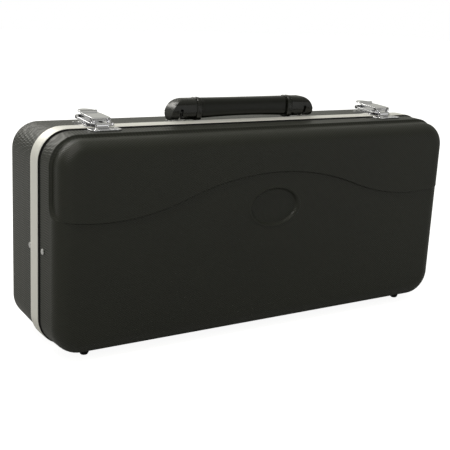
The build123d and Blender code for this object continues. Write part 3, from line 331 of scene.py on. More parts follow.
def loft(sections, caps="none", closed=False):
    """Surface through an array of sections (rows, points, 3), each a closed loop. caps="pair"
    closes both ends by joining each point of a loop's first half to its mirror in the second."""
    rows, count = sections.shape[:2]
    quads = grid_quads(rows, count)
    last = (rows - 1) * count
    if closed:
        k = np.arange(count)
        after = (k + 1) % count
        quads = concatenate([quads, stack([last + k, last + after, after, k], -1)])
    if caps == "pair":
        k = np.arange(count // 2 - 1)
        mirror = count - 1 - k
        first = stack([k, mirror, mirror - 1, k + 1], -1)
        quads = concatenate([quads, first, last + stack([k, k + 1, mirror - 1, mirror], -1)])
    return sections.reshape(-1, 3), quads


def joined(*parts):
    """Several (points, quads) surfaces as one."""
    offset = np.cumsum([0] + [len(points) for points, _ in parts[:-1]])
    quads = [quads + start for (_, quads), start in zip(parts, offset)]
    return concatenate([points for points, _ in parts]), concatenate(quads)


def ended(rows):
    """Rows with a row of their middle before and after, which closes the ends."""
    first, last = (row.mean(0) + 0 * row for row in (rows[0], rows[-1]))
    return concatenate([[first], rows, [last]])


def along_x(x, y, z):
    """Points of sections in Y and Z that stand at the given places along X."""
    return stack([x[:, None] + 0 * y, y, z], -1)


def cleaned(mesh, merge, **flat):
    """Merges a mesh's doubles, drops faces without area, or those flat within a limit, and
    turns the faces outwards where a new surface asks for it."""
    work = bmesh.new()
    work.from_mesh(mesh)
    bmesh.ops.remove_doubles(work, verts=work.verts, dist=merge)
    if flat:
        bmesh.ops.dissolve_limit(work, verts=work.verts, edges=work.edges, **flat)
    else:
        bmesh.ops.dissolve_degenerate(work, edges=work.edges, dist=1e-7)
        bmesh.ops.recalc_face_normals(work, faces=work.faces)
        if work.calc_volume(signed=True) < 0:
            bmesh.ops.reverse_faces(work, faces=work.faces)
    work.to_mesh(mesh)
    work.free()


def placed(name, mesh, body, finish, node, sharp):
    """Object of a mesh with its finish, tied to the CAD body and hiding the node it stands for."""
    mesh.shade_smooth()
    mesh.set_sharp_from_angle(angle=radians(sharp))
    mesh.materials.clear()
    mesh.materials.append(finish)
    piece = bpy.data.objects.new(name, mesh)
    bpy.context.scene.collection.objects.link(piece)
    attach(piece, body)
    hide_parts(node)
    return piece


def add_piece(name, surface, body, finish, node, sheet=None, sharp=40.0):
    """Piece of a new surface. sheet holds two values for each point, kept as the piece's own
    UV map."""
    points, quads = surface
    mesh = bpy.data.meshes.new(name)
    mesh.from_pydata(points.tolist(), [], quads.tolist())
    if sheet is not None:
        layer = mesh.uv_layers.new(name="sheet")
        corner = np.zeros(len(mesh.loops), np.int32)
        mesh.loops.foreach_get("vertex_index", corner)
        layer.data.foreach_set("uv", sheet.reshape(-1, 2)[corner].astype(np.float32).ravel())
    cleaned(mesh, 2e-6)
    piece = placed(name, mesh, body, finish, node, sharp)


def softened(node, name, finish, width, dissolve=2.0):
    """A merged copy of a CAD node with its hard edges rounded by a live bevel."""
    source = frame["nodes"][node]
    mesh = source.data.copy()
    cleaned(mesh, 1e-6, angle_limit=radians(dissolve))
    piece = placed(name, mesh, source["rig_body"], finish, node, 50)
    bevel = piece.modifiers.new("Soft edges", "BEVEL")
    bevel.width = width
    bevel.segments = 2
    bevel.limit_method = "ANGLE"
    bevel.angle_limit = radians(50)
    bevel.harden_normals = True


# Finishes


def fill_in(tree, made, inputs):
    """Links or sets inputs of a node."""
    for key, value in inputs.items():
        if isinstance(value, NodeSocket):
            tree.links.new(value, made.inputs[key])
        else:
            made.inputs[key].default_value = value


def add_node(tree, kind, inputs=None, **values):
    """A node with its settings and inputs filled in."""
    made = tree.nodes.new(kind)
    for key, value in values.items():
        setattr(made, key, value)
    fill_in(tree, made, inputs or {})
    return made


def calc(tree, operation, first, second=0.0):
    """Output of a Math node."""
    return add_node(tree, "ShaderNodeMath", {0: first, 1: second}, operation=operation).outputs[0]


def weighted(tree, first, second, share):
    """First value times its share plus the second times the rest."""
    rest = calc(tree, "MULTIPLY", second, 1 - share)
    return calc(tree, "ADD", calc(tree, "MULTIPLY", first, share), rest)


def axes(tree, vector):
    """X, Y and Z of a vector."""
    return add_node(tree, "ShaderNodeSeparateXYZ", {0: vector}).outputs


def remap(tree, value, low, high, start, end):
    """A value carried from the range low to high to the range start to end."""
    inputs = {0: value, 1: low, 2: high, 3: start, 4: end}
    return add_node(tree, "ShaderNodeMapRange", inputs).outputs[0]


def mix(tree, mask, first, second):
    """Colour between two colours by a mask."""
    inputs = {0: mask, 6: first, 7: second}
    return add_node(tree, "ShaderNodeMix", inputs, data_type="RGBA").outputs[2]


def tones(tree, mask, colour, dark, light):
    """Colour between a darker and a lighter tone of one colour by a mask."""
    dark, light = ((*(min(1.0, c * factor) for c in colour), 1) for factor in (dark, light))
    return mix(tree, mask, dark, light)


def noise(tree, vector, scale, detail):
    """Noise at the scale and detail."""
    inputs = {"Vector": vector, "Scale": scale, "Detail": detail}
    return add_node(tree, "ShaderNodeTexNoise", inputs).outputs[0]


def embossed(tree, height, distance, strength):
    """Normal of a surface with the height raised by distance."""
    bump = {"Strength": strength, "Distance": distance, "Height": height}
    return add_node(tree, "ShaderNodeBump", bump).outputs[0]


def new_group(name, inputs, *outputs):
    """Empty shader node group with a vector, named number inputs and number outputs."""
    tree = bpy.data.node_groups.new(name, "ShaderNodeTree")
    tree.interface.new_socket(name="Vector", in_out="INPUT", socket_type="NodeSocketVector")
    for label, value in inputs.items():
        made = tree.interface.new_socket(name=label, in_out="INPUT", socket_type="NodeSocketFloat")
        made.default_value = value
    for label in outputs:
        tree.interface.new_socket(name=label, in_out="OUTPUT", socket_type="NodeSocketFloat")
    return tree, tree.nodes.new("NodeGroupInput").outputs, tree.nodes.new("NodeGroupOutput")


def placed_group(tree, group, inputs):
    """Outputs of a group placed in a material with its inputs filled in."""
    return add_node(tree, "ShaderNodeGroup", inputs, node_tree=group).outputs


def made_once(library, name=None):
    """Decorator: the first call builds the material or node group, which is called name or else
    what the first argument says, and later calls find it by that name."""

    def wrap(build):
        @wraps(build)
        def found(*given):
            data = getattr(bpy.data, library)
            return data.get(name or given[0]) or build(*given)

        return found

    return wrap


@made_once("node_groups", "Diamond grain")
def diamond_grain():
    """Node group: embossed diamonds over the sheet, sin(2 pi u / width) sin(2 pi v / height)."""
    tree, given, out = new_group("Diamond grain", {"Width": 0.0037, "Tall": 0.0026}, "Height")
    split = axes(tree, given["Vector"])
    across, along = (
        calc(tree, "SINE", calc(tree, "MULTIPLY", calc(tree, "DIVIDE", value, given[size]), 2 * pi))
        for value, size in ((split[0], "Width"), (split[1], "Tall"))
    )
    product = calc(tree, "MULTIPLY", across, along)
    fill_in(tree, out, {"Height": calc(tree, "ADD", calc(tree, "MULTIPLY", product, 0.5), 0.5)})
    return tree


@made_once("node_groups", "Handling")
def handling():
    """Node group: slow blotches and fine specks that shift a value between two ends, as a
    handled surface has."""
    sizes = {"Scale": 12.0, "Low": 0.4, "High": 0.5}
    tree, given, out = new_group("Handling", sizes, "Value", "Mask")
    broad = noise(tree, given["Vector"], given["Scale"], 4.0)
    fine = noise(tree, given["Vector"], calc(tree, "MULTIPLY", given["Scale"], 14.0), 2.0)
    blend = weighted(tree, broad, fine, 0.7)
    value = remap(tree, blend, 0.3, 0.7, given["Low"], given["High"])
    fill_in(tree, out, {"Value": value, "Mask": remap(tree, blend, 0.3, 0.7, 0.0, 1.0)})
    return tree


@made_once("node_groups", "Drawn streaks")
def drawn_streaks():
    """Node group: long thin streaks along the first axis of the vector, as rolled or drawn
    metal has."""
    tree, given, out = new_group("Drawn streaks", {"Length": 6.0, "Fineness": 900.0}, "Height")
    split = axes(tree, given["Vector"])
    sizes = enumerate(("Length", "Fineness", "Fineness"))
    stretched = {axis: calc(tree, "MULTIPLY", split[axis], given[size]) for axis, size in sizes}
    vector = add_node(tree, "ShaderNodeCombineXYZ", stretched).outputs[0]
    fill_in(tree, out, {"Height": noise(tree, vector, 1.0, 3.0)})
    return tree


def new_material(name):
    """Tree of a new material, its Object coordinates, and a call that fills in its Principled
    shader and hands the material back."""
    material = bpy.data.materials.new(name)
    material.use_nodes = True
    tree = material.node_tree

    def done(inputs):
        """The material with the shader's inputs filled in."""
        fill_in(tree, tree.nodes["Principled BSDF"], inputs)
        return material

    return tree, tree.nodes.new("ShaderNodeTexCoord").outputs["Object"], done


def handled(tree, place, scale, low, high):
    """Outputs of the handling group."""
    inputs = {"Vector": place, "Scale": scale, "Low": low, "High": high}
    return placed_group(tree, handling(), inputs)


def worn(tree, place, scale, low, high, colour, dark, light):
    """Base colour and roughness of a handled surface, between two tones and two values."""
    wear = handled(tree, place, scale, low, high)
    return {"Base Color": tones(tree, wear["Mask"], colour, dark, light), "Roughness": wear["Value"]}


@made_once("materials", "Moulded shell")
def shell_finish():
    """Charcoal moulded plastic with embossed diamonds that follow the sheet round the edges, with
    painted shade in the diamonds' valleys, and a painted shadow along the lid's edge beside the
    valance."""
    look = bpy.context.scene.case_shell_look
    tree, place, done = new_material("Moulded shell")
    sheet = add_node(tree, "ShaderNodeUVMap", uv_map="sheet").outputs[0]
    sizes = {"Vector": sheet, "Width": look.grain_width, "Tall": look.grain_height}
    grain = placed_group(tree, diamond_grain(), sizes)["Height"]
    wear = handled(tree, place, 9.0, 0.18, 0.26)
    # Colour mask: 0.7 of it is the grain, which paints shade into the diamonds' valleys and light
    # onto their crests. The other 0.3 is the handling blotches, the plastic's own uneven tone.
    grain_shade_and_handling = weighted(tree, grain, wear["Mask"], 0.7)
    depth = axes(tree, place)[1]
    # Painted shadow: a strip along the lid's edge beside the valance gets a near-black colour and
    # full roughness, standing in for the shade in the parting gap.
    away = calc(tree, "ABSOLUTE", calc(tree, "SUBTRACT", depth, LID_EDGE_Y))
    outside_gap_shadow = calc(tree, "GREATER_THAN", away, look.gap_shadow_width)
    cavity = remap(tree, grain, 0.0, 1.0, 0.70, 0.94)
    gloss = calc(tree, "MULTIPLY", calc(tree, "SUBTRACT", cavity, wear["Value"]), outside_gap_shadow)
    # lip is the near-black colour of that painted shadow.
    plastic, lip = tones(tree, grain_shade_and_handling, look.colour, 0.5, 1.5), (0.001, 0.001, 0.001, 1)
    return done(
        {
            "Base Color": mix(tree, outside_gap_shadow, lip, plastic),
            "Roughness": calc(tree, "SUBTRACT", 1.0, gloss),
            "Specular IOR Level": 0.34,
            "Normal": embossed(tree, grain, look.grain_depth, 1.0),
        }
    )


@made_once("materials", "Drawn aluminium")
def valance_finish():
    """Satin aluminium with lengthwise drawing marks."""
    look = bpy.context.scene.case_metal_look
    tree, _, done = new_material("Drawn aluminium")
    sheet = add_node(tree, "ShaderNodeUVMap", uv_map="sheet").outputs[0]
    marks = {"Vector": sheet, "Length": 7.0, "Fineness": 1100.0}
    streaks = placed_group(tree, drawn_streaks(), marks)["Height"]
    return done(
        {
            "Base Color": tones(tree, streaks, look.aluminium, 0.94, 1.06),
            "Roughness": remap(tree, streaks, 0.3, 0.7, 0.46, 0.60),
            "Normal": embossed(tree, streaks, 0.00002, 0.5),
            "Metallic": 0.5,
        }
    )


@made_once("materials")
def metal_finish(name, colour, low, high):
    """Plated metal: bright, with slight polishing waves and faint handling marks."""
    tree, place, done = new_material(name)
    return done(
        {
            **worn(tree, place, 60.0, low, high, colour, 0.95, 1.0),
            "Normal": embossed(tree, noise(tree, place, 180.0, 1.0), 0.00002, 0.4),
            "Metallic": 1.0,
        }
    )


def chrome_finish():
    """Bright chrome of the latches."""
    return metal_finish("Latch chrome", tuple(bpy.context.scene.case_metal_look.chrome), 0.04, 0.10)


def steel_finish():
    """Zinc-plated steel of rivets, hinges, stays and brackets."""
    return metal_finish("Plated steel", (0.60, 0.60, 0.60), 0.22, 0.34)


@made_once("materials")
def plastic_finish(name, colour, low, high, grain_scale, grain_depth, level):
    """Moulded black plastic or rubber with a fine random grain."""
    tree, place, done = new_material(name)
    cells = add_node(tree, "ShaderNodeTexVoronoi", {"Vector": place, "Scale": grain_scale}).outputs[0]
    return done(
        {
            **worn(tree, place, 30.0, low, high, colour, 0.88, 1.12),
            "Normal": embossed(tree, cells, grain_depth, 0.6),
            "Specular IOR Level": level,
        }
    )


def rubber_finish():
    """Dull black rubber of the feet."""
    return plastic_finish("Black rubber", (0.012, 0.012, 0.012), 0.55, 0.7, 900.0, 0.00002, 0.3)


def seal_black_and_gap_shade_finish():
    """Black of the seal, and painted shade on the lid's aluminium inner strip for the dark parting
    gap.
    """
    return plastic_finish("Black edging", (0.006, 0.006, 0.006), 0.5, 0.62, 900.0, 0.00001, 0.2)


def cap_finish():
    """Glossy moulded ends and bands of the handle."""
    colour = tuple(bpy.context.scene.case_handle_look.colour)
    return plastic_finish("Handle moulding", colour, 0.22, 0.32, 700.0, 0.00001, 0.45)


def grip_finish():
    """Soft padded skin of the grip."""
    colour = tuple(bpy.context.scene.case_handle_look.colour)
    return plastic_finish("Handle grip skin", colour, 0.30, 0.42, 520.0, 0.00003, 0.35)


@made_once("materials", "Plush lining")
def lining_finish():
    """Short plush over foam: soft nap with sheen."""
    look = bpy.context.scene.case_lining_look
    tree, place, done = new_material("Plush lining")
    return done(
        {
            **worn(tree, place, 16.0, 0.85, 1.0, look.colour, 0.75, 1.35),
            "Normal": embossed(tree, noise(tree, place, 1400.0, 3.0), 0.0003, 0.8),
            "Sheen Weight": 0.5,
            "Sheen Roughness": 0.4,
        }
    )


# Shells and valance


def sheet_values(look, run, edge_inset, edge, shape):
    """Flat place of every point on the plastic sheet before moulding: the walls go on outwards
    from the face's edge by the profile's length, of which the drawn wall keeps only a share."""
    round_run = edge * pi / 2
    pulled = minimum(run, round_run) + look.wall_stretch * maximum(run - round_run, 0)
    base_x, base_z = ring(edge_inset, shape)
    return stack([base_x + shape[2] * pulled[:, None], base_z + shape[3] * pulled[:, None]], -1)


def block_surface(look, run, shape, *block):
    """Points and sheet values of one drafted block for the given runs along its profile."""
    inset, depth = block_profile(run, *block)
    x, z = ring(inset, shape)
    walled = sheet_values(look, run, face_inset(*block), block[2], shape)
    sheet = where(run[:, None, None] < 0, stack([x, z], -1), walled)
    return stack([x, depth[:, None] + 0 * x, z], -1), sheet


def lid_blend(look, plain, raised, forward):
    """Plain block blended into the raised narrower one where panel_share says."""
    share = panel_share(plain[..., 0], plain[..., 2], forward, look.step_width, look.step_corner)
    return plain + (raised - plain) * share[..., None]


def lid_walls(look, shape, run, wall):
    """Rounded edges and walls of the lid drawn in by wall. The raised block's edge is tighter by
    its inset, so both faces end at the same line and both walls share their depths. Points of
    the short sides slide with the wave, so one row of them stays on it."""
    edge, tight = EDGE - wall, EDGE - wall - PANEL_INSET
    face_y, front_y = LID_FACE_Y + wall, FRONT_Y + wall
    block = (wall, face_y, edge, LID_EDGE_Y, LID_DRAFT)
    plain, sheet = block_surface(look, run, shape, *block)
    wall_run = edge * pi / 2
    tight_wall = tight * pi / 2 + face_y + edge - front_y - tight
    scaled = run * where(run > 0, tight_wall / wall_run, 1)
    matched = where(run < wall_run, scaled, run - wall_run + tight_wall)
    inner = (wall + PANEL_INSET, front_y, tight, LID_EDGE_Y, LID_DRAFT)
    raised = block_surface(look, matched, shape, *inner)[0]
    start, reach = wave(HALF_LENGTH - face_inset(*block))[0], 0.025
    near = np.exp(-(((plain[..., 2] - start) / reach) ** 2)) * (shape[3] == 0)
    slide = (wave(plain[..., 0])[0] - start) * near
    plain[..., 2] += slide
    raised[..., 2] += slide
    forward = (wall_run + RIM_Y - LID_FACE_Y - edge - run)[:, None]
    return lid_blend(look, plain, raised, forward), sheet


def spans(*parts):
    """Values running on through several spans, each given as its start, end and count."""
    return concatenate([linspace(start, end, count, endpoint=False) for start, end, count in parts])


def lid_face(look):
    """Face of the lid as columns of constant X whose rows follow the wave, and the unit values
    of its border for the walls. Each column runs from the lower to the upper border of the face,
    z = z0 + (wave - z0) t below the wave and wave + (z1 - wave) t above it."""
    arc = arcs(90, 0, 12, False)
    side = spans((-1, -0.17, 80), (-0.17, 0, 64))
    core = concatenate([side, [0], -side[::-1]])
    end = 0 * arc + 1
    u = concatenate([-end, core, end])
    n = concatenate([-sin(arc), 0 * core, sin(arc)[::-1]])
    m = concatenate([cos(arc), 0 * core + 1, cos(arc)[::-1]])
    inset = face_inset(0, LID_FACE_Y, EDGE, LID_EDGE_Y, LID_DRAFT)
    x, top = (line[0] for line in ring(inset, (u, 0 * u + 1, n, m)))
    low = 2 * MID_Z - top
    crest = wave(x)[0]
    soft = look.step_width * linspace(-0.75, 0.75, 7)
    below = spans((0, 0.6, 20), (0.6, 0.92, 70), (0.92, 1, 6))[:, None]
    above = linspace(0, 1, 20)[1:, None]
    under = low + (crest + soft[0] - low) * below
    over = crest + soft[-1] + (top - crest - soft[-1]) * above
    z = concatenate([under, crest + soft[:, None], over])
    x = x + 0 * z
    plain, raised = (stack([x, face_y + 0 * x, z], -1) for face_y in (LID_FACE_Y, FRONT_Y))
    far_inside_rim = 0.06
    points = lid_blend(look, plain, raised, far_inside_rim + 0 * x)
    oval = hypot(x / OVAL_HALF_X, (z - OVAL_Z) / OVAL_HALF_Z) - 1
    edge = look.oval_edge / OVAL_HALF_X
    points[..., 1] += look.oval_recess * smooth_step(0.2 - oval / edge)
    points[..., 1] -= look.oval_lip * np.exp(-(((oval - 0.8 * edge) / (0.6 * edge)) ** 2))
    v = (z[1:-1, -1] - MID_Z) / (HALF_HEIGHT - CORNER)
    one = 0 * v + 1
    shape = (
        concatenate([u, one, u[::-1], -one]),
        concatenate([0 * u + 1, v[::-1], 0 * u - 1, v]),
        concatenate([n, one, n[::-1], -one]),
        concatenate([m, 0 * v, -m[::-1], 0 * v]),
    )
    return points, stack([x, z], -1), shape


class CASE_OT_lid_shell(Operator):
    """Moulded lid with the raised panel, its wave, the rim band and the bare oval recess"""

    bl_idname = "case.lid_shell"
    bl_label = "Lid shell"

    def execute(self, context):
        look = context.scene.case_shell_look
        face, face_sheet, shape = lid_face(look)

        def on_wall(edge, *depths):
            """Runs at which the wall reaches depths given in millimetres."""
            return edge * pi / 2 + array(depths) / 1000 - LID_FACE_Y - EDGE

        at_step = (-54, -53.4, -53, -52.6, -52.3, -52, -51.7, -51.4, -51, -50.4)
        down = on_wall(EDGE, -56, -55, *at_step, -49, -45, -36, -28, -26.2)
        run = concatenate([linspace(0, EDGE * pi / 2, 14), down])
        outer, outer_sheet = lid_walls(look, shape, run, 0)
        edge = EDGE - WALL
        middle = face_inset(WALL, LID_FACE_Y + WALL, edge, LID_EDGE_Y, LID_DRAFT)[0] - HALF_HEIGHT
        few = [spans((middle, 0, 4)), edge * array([0, 0.3, 0.7, 1.1, pi / 2])]
        few = concatenate([*few, on_wall(edge, -54.2, -52, -50, -48.6, -47.5, -40, -26.2)])
        inner, inner_sheet = lid_walls(look, shape, few, WALL)
        walls = loft(concatenate([outer, inner[::-1]]))
        skin = joined((face.reshape(-1, 3), grid_quads(*face.shape[:2], closed=False)), walls)
        sheets = (face_sheet, outer_sheet, inner_sheet[::-1])
        sheet = concatenate([part.reshape(-1, 2) for part in sheets])
        add_piece("lid_moulding", skin, "lid", shell_finish(), "lid_shell", sheet, sharp=60)
        return {"FINISHED"}


class CASE_OT_back_shell(Operator):
    """Moulded back half: drafted walls, large rounded edges and a plain face"""

    bl_idname = "case.back_shell"
    bl_label = "Back shell"

    def execute(self, context):
        look = context.scene.case_shell_look
        shape = columns(90, 36, 20)
        layers = []
        for wall, face_count, edge_count, wall_count in ((0, 8, 12, 9), (WALL, 4, 6, 4)):
            edge, depth = EDGE - wall, BACK_Y - SHELL_EDGE_Y - wall
            block = (BASE_INSET + wall, BACK_Y - wall, edge, SHELL_EDGE_Y, BASE_DRAFT)
            middle = face_inset(*block)[0] - HALF_HEIGHT
            rounded = spans((middle, 0, face_count), (0, edge * pi / 2, edge_count))
            run = concatenate([rounded, edge * (pi / 2 - 1) + linspace(edge, depth, wall_count)])
            layers.append(block_surface(look, run, shape, *block))
        (outer, sheet), (inner, _) = layers
        skin = loft(concatenate([outer, inner[::-1]]))
        sheet = concatenate([sheet, inner[::-1][..., [0, 2]]])
        finish = shell_finish()
        add_piece("back_moulding", skin, "base", finish, "back_shell", sheet, sharp=60)
        return {"FINISHED"}


class CASE_OT_valance(Operator):
    """Aluminium valance: one drawn section carried round the outline, notched at the hinges"""

    bl_idname = "case.valance"
    bl_label = "Valance"

    def execute(self, context):
        soft = context.scene.case_metal_look.band_edge
        arc = radians([0, 30, 60, 90])
        out, rise = soft * sin(arc), soft - soft * cos(arc) - BAND_OUT
        front = stack([PARTING_Y + soft - out, rise], -1)[::-1]
        back = stack([BAND_BACK_Y - soft + out, rise], -1)
        bulge = 0.00002 * sin(linspace(0, pi, 7))
        crown = stack([linspace(PARTING_Y + 0.0015, BAND_BACK_Y - 0.0015, 7), -BAND_OUT - bulge], -1)
        web, web_back, tongue, flange, inner = -0.019, -0.009, -0.028, 0.0034, 0.0049
        hidden = [(BAND_BACK_Y, 0), (web, 0), (web, flange), (web_back, flange), (web_back, inner)]
        hidden += [(tongue, inner), (tongue, flange), (PARTING_Y, flange), (PARTING_Y, 0)]
        profile = concatenate([front, crown, back, array(hidden)])
        x, z = ring(profile[:, 1], columns(208, 30, 16))
        y = profile[:, 0][:, None] + 0 * x
        notch_half, notch_y = 0.0193, -0.0226
        notched = (z < MID_Z) & (abs(abs(x) - HINGE_X) < notch_half) & (profile[:, 1] <= 0)[:, None]
        y = where(notched, maximum(y, notch_y), y)
        step = hypot(*np.diff(stack([x[0], z[0]]), axis=1, append=stack([x[0, :1], z[0, :1]])))
        along = concatenate([[0], np.cumsum(step)[:-1]])
        across = concatenate([[0], np.cumsum(hypot(*np.diff(profile, axis=0).T))])
        sheet = stack([along + 0 * across[:, None], across[:, None] + 0 * along], -1)
        band = loft(stack([x, y, z], -1), closed=True)
        finish = valance_finish()
        add_piece("valance_band", band, "base", finish, "base_valance", sheet, sharp=35)
        # The lid's aluminium strip is painted black: painted shade standing in for the dark parting
        # gap.
        strip = frame["nodes"]["lid_valance"].data.materials
        strip.clear()
        strip.append(seal_black_and_gap_shade_finish())
        return {"FINISHED"}


# Latches


def carried_strip(centre_x, path, half_width, skirt, thickness, edge):
    """Bent plate: a section carried along a path of (y, z) points on its outer face. The section
    is a flat top with rounded shoulders whose sides turn down by skirt below the underside; the
    path's left side is outward."""
    tangent = np.gradient(path, axis=0)
    tangent /= hypot(*tangent.T)[:, None]
    arc = radians([0, 30, 60, 90])
    flat = array([0.0, 0.4, 0.8])
    half = maximum(half_width, 0.0006)[:, None]
    inner_half = maximum(half - thickness, half * 0.3)
    lean = minimum(edge, half * 0.5)
    low = (-thickness - skirt)[:, None]
    outer_x = concatenate([(half - lean) * flat, half - lean + lean * sin(arc), half], axis=1)
    outer_h = concatenate([0 * flat * half, -lean + lean * cos(arc), low], axis=1)
    inner_x = concatenate([inner_half * flat, inner_half + 0 * arc, inner_half], axis=1)
    inner_h = concatenate([zeros(len(flat) + len(arc)) * half - thickness, low], axis=1)
    ring_x = concatenate([-outer_x[:, ::-1], outer_x, inner_x[:, ::-1], -inner_x], axis=1)
    ring_h = concatenate([outer_h[:, ::-1], outer_h, inner_h[:, ::-1], inner_h], axis=1)
    y = path[:, :1] - tangent[:, 1:] * ring_h
    z = path[:, 1:] + tangent[:, :1] * ring_h
    return loft(stack([centre_x + ring_x, y, z], -1), caps="pair")


def turned(start, direction, profile, count=24):
    """Surface of revolution: profile points (distance along the direction, radius) turned round
    the line from start."""
    side = np.cross(direction, [0.3, 0.5, 0.81])
    side /= np.linalg.norm(side)
    angle = linspace(0, 2 * pi, count, endpoint=False)[None, :, None]
    spokes = cos(angle) * side + sin(angle) * np.cross(direction, side)
    along, radius = array(profile, float).T[..., None, None]
    return loft(array(start) + along * array(direction) + radius * spokes)


def barrel(low_x, high_x, y, z, radius, soft=0.0003):
    """Closed round bar along X with softened rims."""
    length = high_x - low_x
    profile = [(0, 0), (0, radius - soft), (soft * 0.3, radius - soft * 0.3), (soft, radius)]
    profile += [(length - a, r) for a, r in profile[::-1]]
    return turned((low_x, y, z), (1, 0, 0), profile)


def side_plate(low_x, high_x, corners):
    """Flat plate across X whose outline is given in Y and Z, as two loops closed at their
    middles."""
    return loft(ended(array([np.insert(array(corners), 0, x, axis=1) for x in (low_x, high_x)])))


def oblong(low_y, high_y, low_z, high_z):
    """Corners of a rectangle in Y and Z."""
    return [(low_y, low_z), (high_y, low_z), (high_y, high_z), (low_y, high_z)]


def pin_eyes(x, reach, thick, web):
    """Two thin eyes round the lever's pin, each at reach from the latch's middle and on a web."""
    made = []
    for side in (-1, 1):
        low = x + side * reach - thick / 2
        made += [barrel(low, low + thick, *LEVER_PIN, LEVER_EYE), side_plate(low, low + thick, web)]
    return made


def lever_surface(x):
    """Lever: rolled front edge over the pin, rising top, step and a round thumb tab."""
    fold = arcs(135, 90, 7)
    rolled = array(LEVER_PIN) + 0.0034 * stack([cos(fold), sin(fold)], -1)
    tab, tab_start = 0.0100, 0.0380
    back = concatenate([linspace(0.004, 0.0302, 10), [0.0308, 0.0311, 0.0314, 0.0318, 0.0324, 0.033]])
    run = concatenate([back, tab_start + tab * sin(radians([-35, -10, 15, 35, 52, 66, 77, 85, 89]))])
    rise = 0.0119 + 0.0024 * (run - 0.0015) / 0.0465 + 0.0008 * smooth_step((run - 0.0306) / 0.0014)
    path = concatenate([rolled, stack([PARTING_Y + run, TOP_Z + rise], -1)])
    wide = 0.0110 - 0.0010 * smooth_step((run - 0.0185) / 0.0135)
    tip = sqrt(maximum(tab**2 - maximum(run - tab_start, 0) ** 2, 1e-10))
    half = concatenate([linspace(0.0104, 0.0110, 7), where(run > tab_start, tip, wide)])
    drop = interp(run, [0.0015, 0.02, 0.029, 0.032], [0.0012, 0.0012, 0.0010, 0.0])
    skirt = concatenate([zeros(6), [0.0012], drop])
    y, z = LEVER_PIN
    web = [(y - 0.0014, z), (y + 0.0014, z), (y + 0.0045, z + 0.0022), (y - 0.0005, z + 0.0022)]
    plate = carried_strip(x, path, half, skirt, PLATE, PLATE_EDGE)
    return joined(plate, *pin_eyes(x, 0.0103, 0.0014, web))


def hasp_surface(x):
    """Hasp: claw in front, plate with rounded shoulders, turned-down sides, lugs and rolled
    knuckles at the back."""
    claw_y = (-0.0046, -0.0046, -0.0046, -0.0046, -0.00445, -0.0040, -0.0034)
    claw_z = (0.0022, 0.0030, 0.0040, 0.0050, 0.0057, 0.00615, 0.0063)
    plate = (linspace(0.0001, 0.0045, 8), linspace(0.007, 0.0352, 9))
    run = concatenate([[-0.0024, -0.0012, -0.0004], *plate, [0.0362, 0.0372]])
    rise = 0.0063 + 0.0023 * maximum(run, 0) / 0.038
    path = stack([concatenate([claw_y, run]), concatenate([claw_z, rise])], -1) + [PARTING_Y, TOP_Z]
    shoulder = 0.0080 + 0.0050 * sqrt(1 - (1 - clip(run / 0.0045, 0, 1)) ** 2)
    half = concatenate([linspace(0.0070, 0.0080, 7), where(run < 0, 0.0080, shoulder)])
    turned_down = interp(run, [0.003, 0.005, 0.032, 0.034], [0.0, 0.0012, 0.0019, 0.0])
    skirt = concatenate([zeros(7), turned_down])
    parts = [carried_strip(x, path, half, skirt, PLATE, PLATE_EDGE)]
    y, z = KNUCKLE
    tongue = [(y - 0.0035, z - 0.0009), (y, z - 0.0008), (y, z + 0.0006), (y - 0.0035, z + 0.0004)]
    for low, high in ((x - 0.013, x - 0.006), (x + 0.006, x + 0.013)):
        parts += [barrel(low, high, y, z, KNUCKLE_RADIUS, 0.0005), side_plate(low, high, tongue)]
    y, z = LEVER_PIN
    web = [(y - 0.0016, z - 0.0027), (y + 0.0016, z - 0.0027), (y + 0.0017, z), (y - 0.0017, z)]
    return joined(*parts, *pin_eyes(x, 0.00865, 0.0015, web))


def base_plate_surface(x):
    """Latch base: plate with rounded ends and turned-up sides, foot under it, middle knuckle."""
    turn = radians([0, 20, 45, 70, 90])
    round_x, round_y = 0.003 * (1 - sin(turn)), 0.003 * (1 - cos(turn))
    run = concatenate([0.003 + round_y, linspace(0.008, 0.033, 8), 0.0386 - round_y[::-1]])
    corner = concatenate([round_x, zeros(8), round_x[::-1]])
    path = stack([PARTING_Y + run, TOP_Z + 0.00165 + 0 * run], -1)[::-1]
    rim = interp(run, [0.0055, 0.0075, 0.031, 0.033], [0.0, 0.0017, 0.0017, 0.0])
    plate = carried_strip(x, path, (LATCH_HALF - corner)[::-1], rim[::-1], THIN_PLATE, 0.0003)
    y, z = KNUCKLE
    low, high, foot_half = x - 0.0057, x + 0.0057, 0.0166
    knuckle = barrel(low, high, y, z, KNUCKLE_RADIUS, 0.0004)
    post = side_plate(low, high, oblong(y - 0.0016, y + 0.0016, z - 0.0060, z))
    foot = oblong(PARTING_Y + 0.02015, PARTING_Y + 0.033, TOP_Z - 0.00045, TOP_Z + 0.0018)
    return joined(plate, knuckle, post, side_plate(x - foot_half, x + foot_half, foot))


def catch_surface(x):
    """Catch: plate with two rounded wings on the lid and a raised lip for the claw."""
    turn = radians([0, 15, 35, 55, 75, 90])
    round_x, round_y = 1 - sin(turn), 1 - cos(turn)
    front, back = 0.006, 0.002
    middle = [-0.009, -0.007, -0.005]
    run = concatenate([front * round_y - 0.017, middle, -0.0014 - back * round_y[::-1]])
    corner = concatenate([front * round_x, zeros(3), back * round_x[::-1]])
    path = stack([PARTING_Y + run, TOP_Z + 0.0013 + 0 * run], -1)
    plate = carried_strip(x, path, LATCH_HALF - corner, 0 * run, THIN_PLATE, PLATE_EDGE)
    lip_y = (-0.0028, -0.0016, -0.0016, -0.0019, -0.0025, -0.0028)
    lip_z = (0.0006, 0.0006, 0.0043, 0.0046, 0.0046, 0.0043)
    lip, half = stack([lip_y, lip_z], -1) + [PARTING_Y, TOP_Z], 0.008
    return joined(plate, side_plate(x - half, x + half, lip))


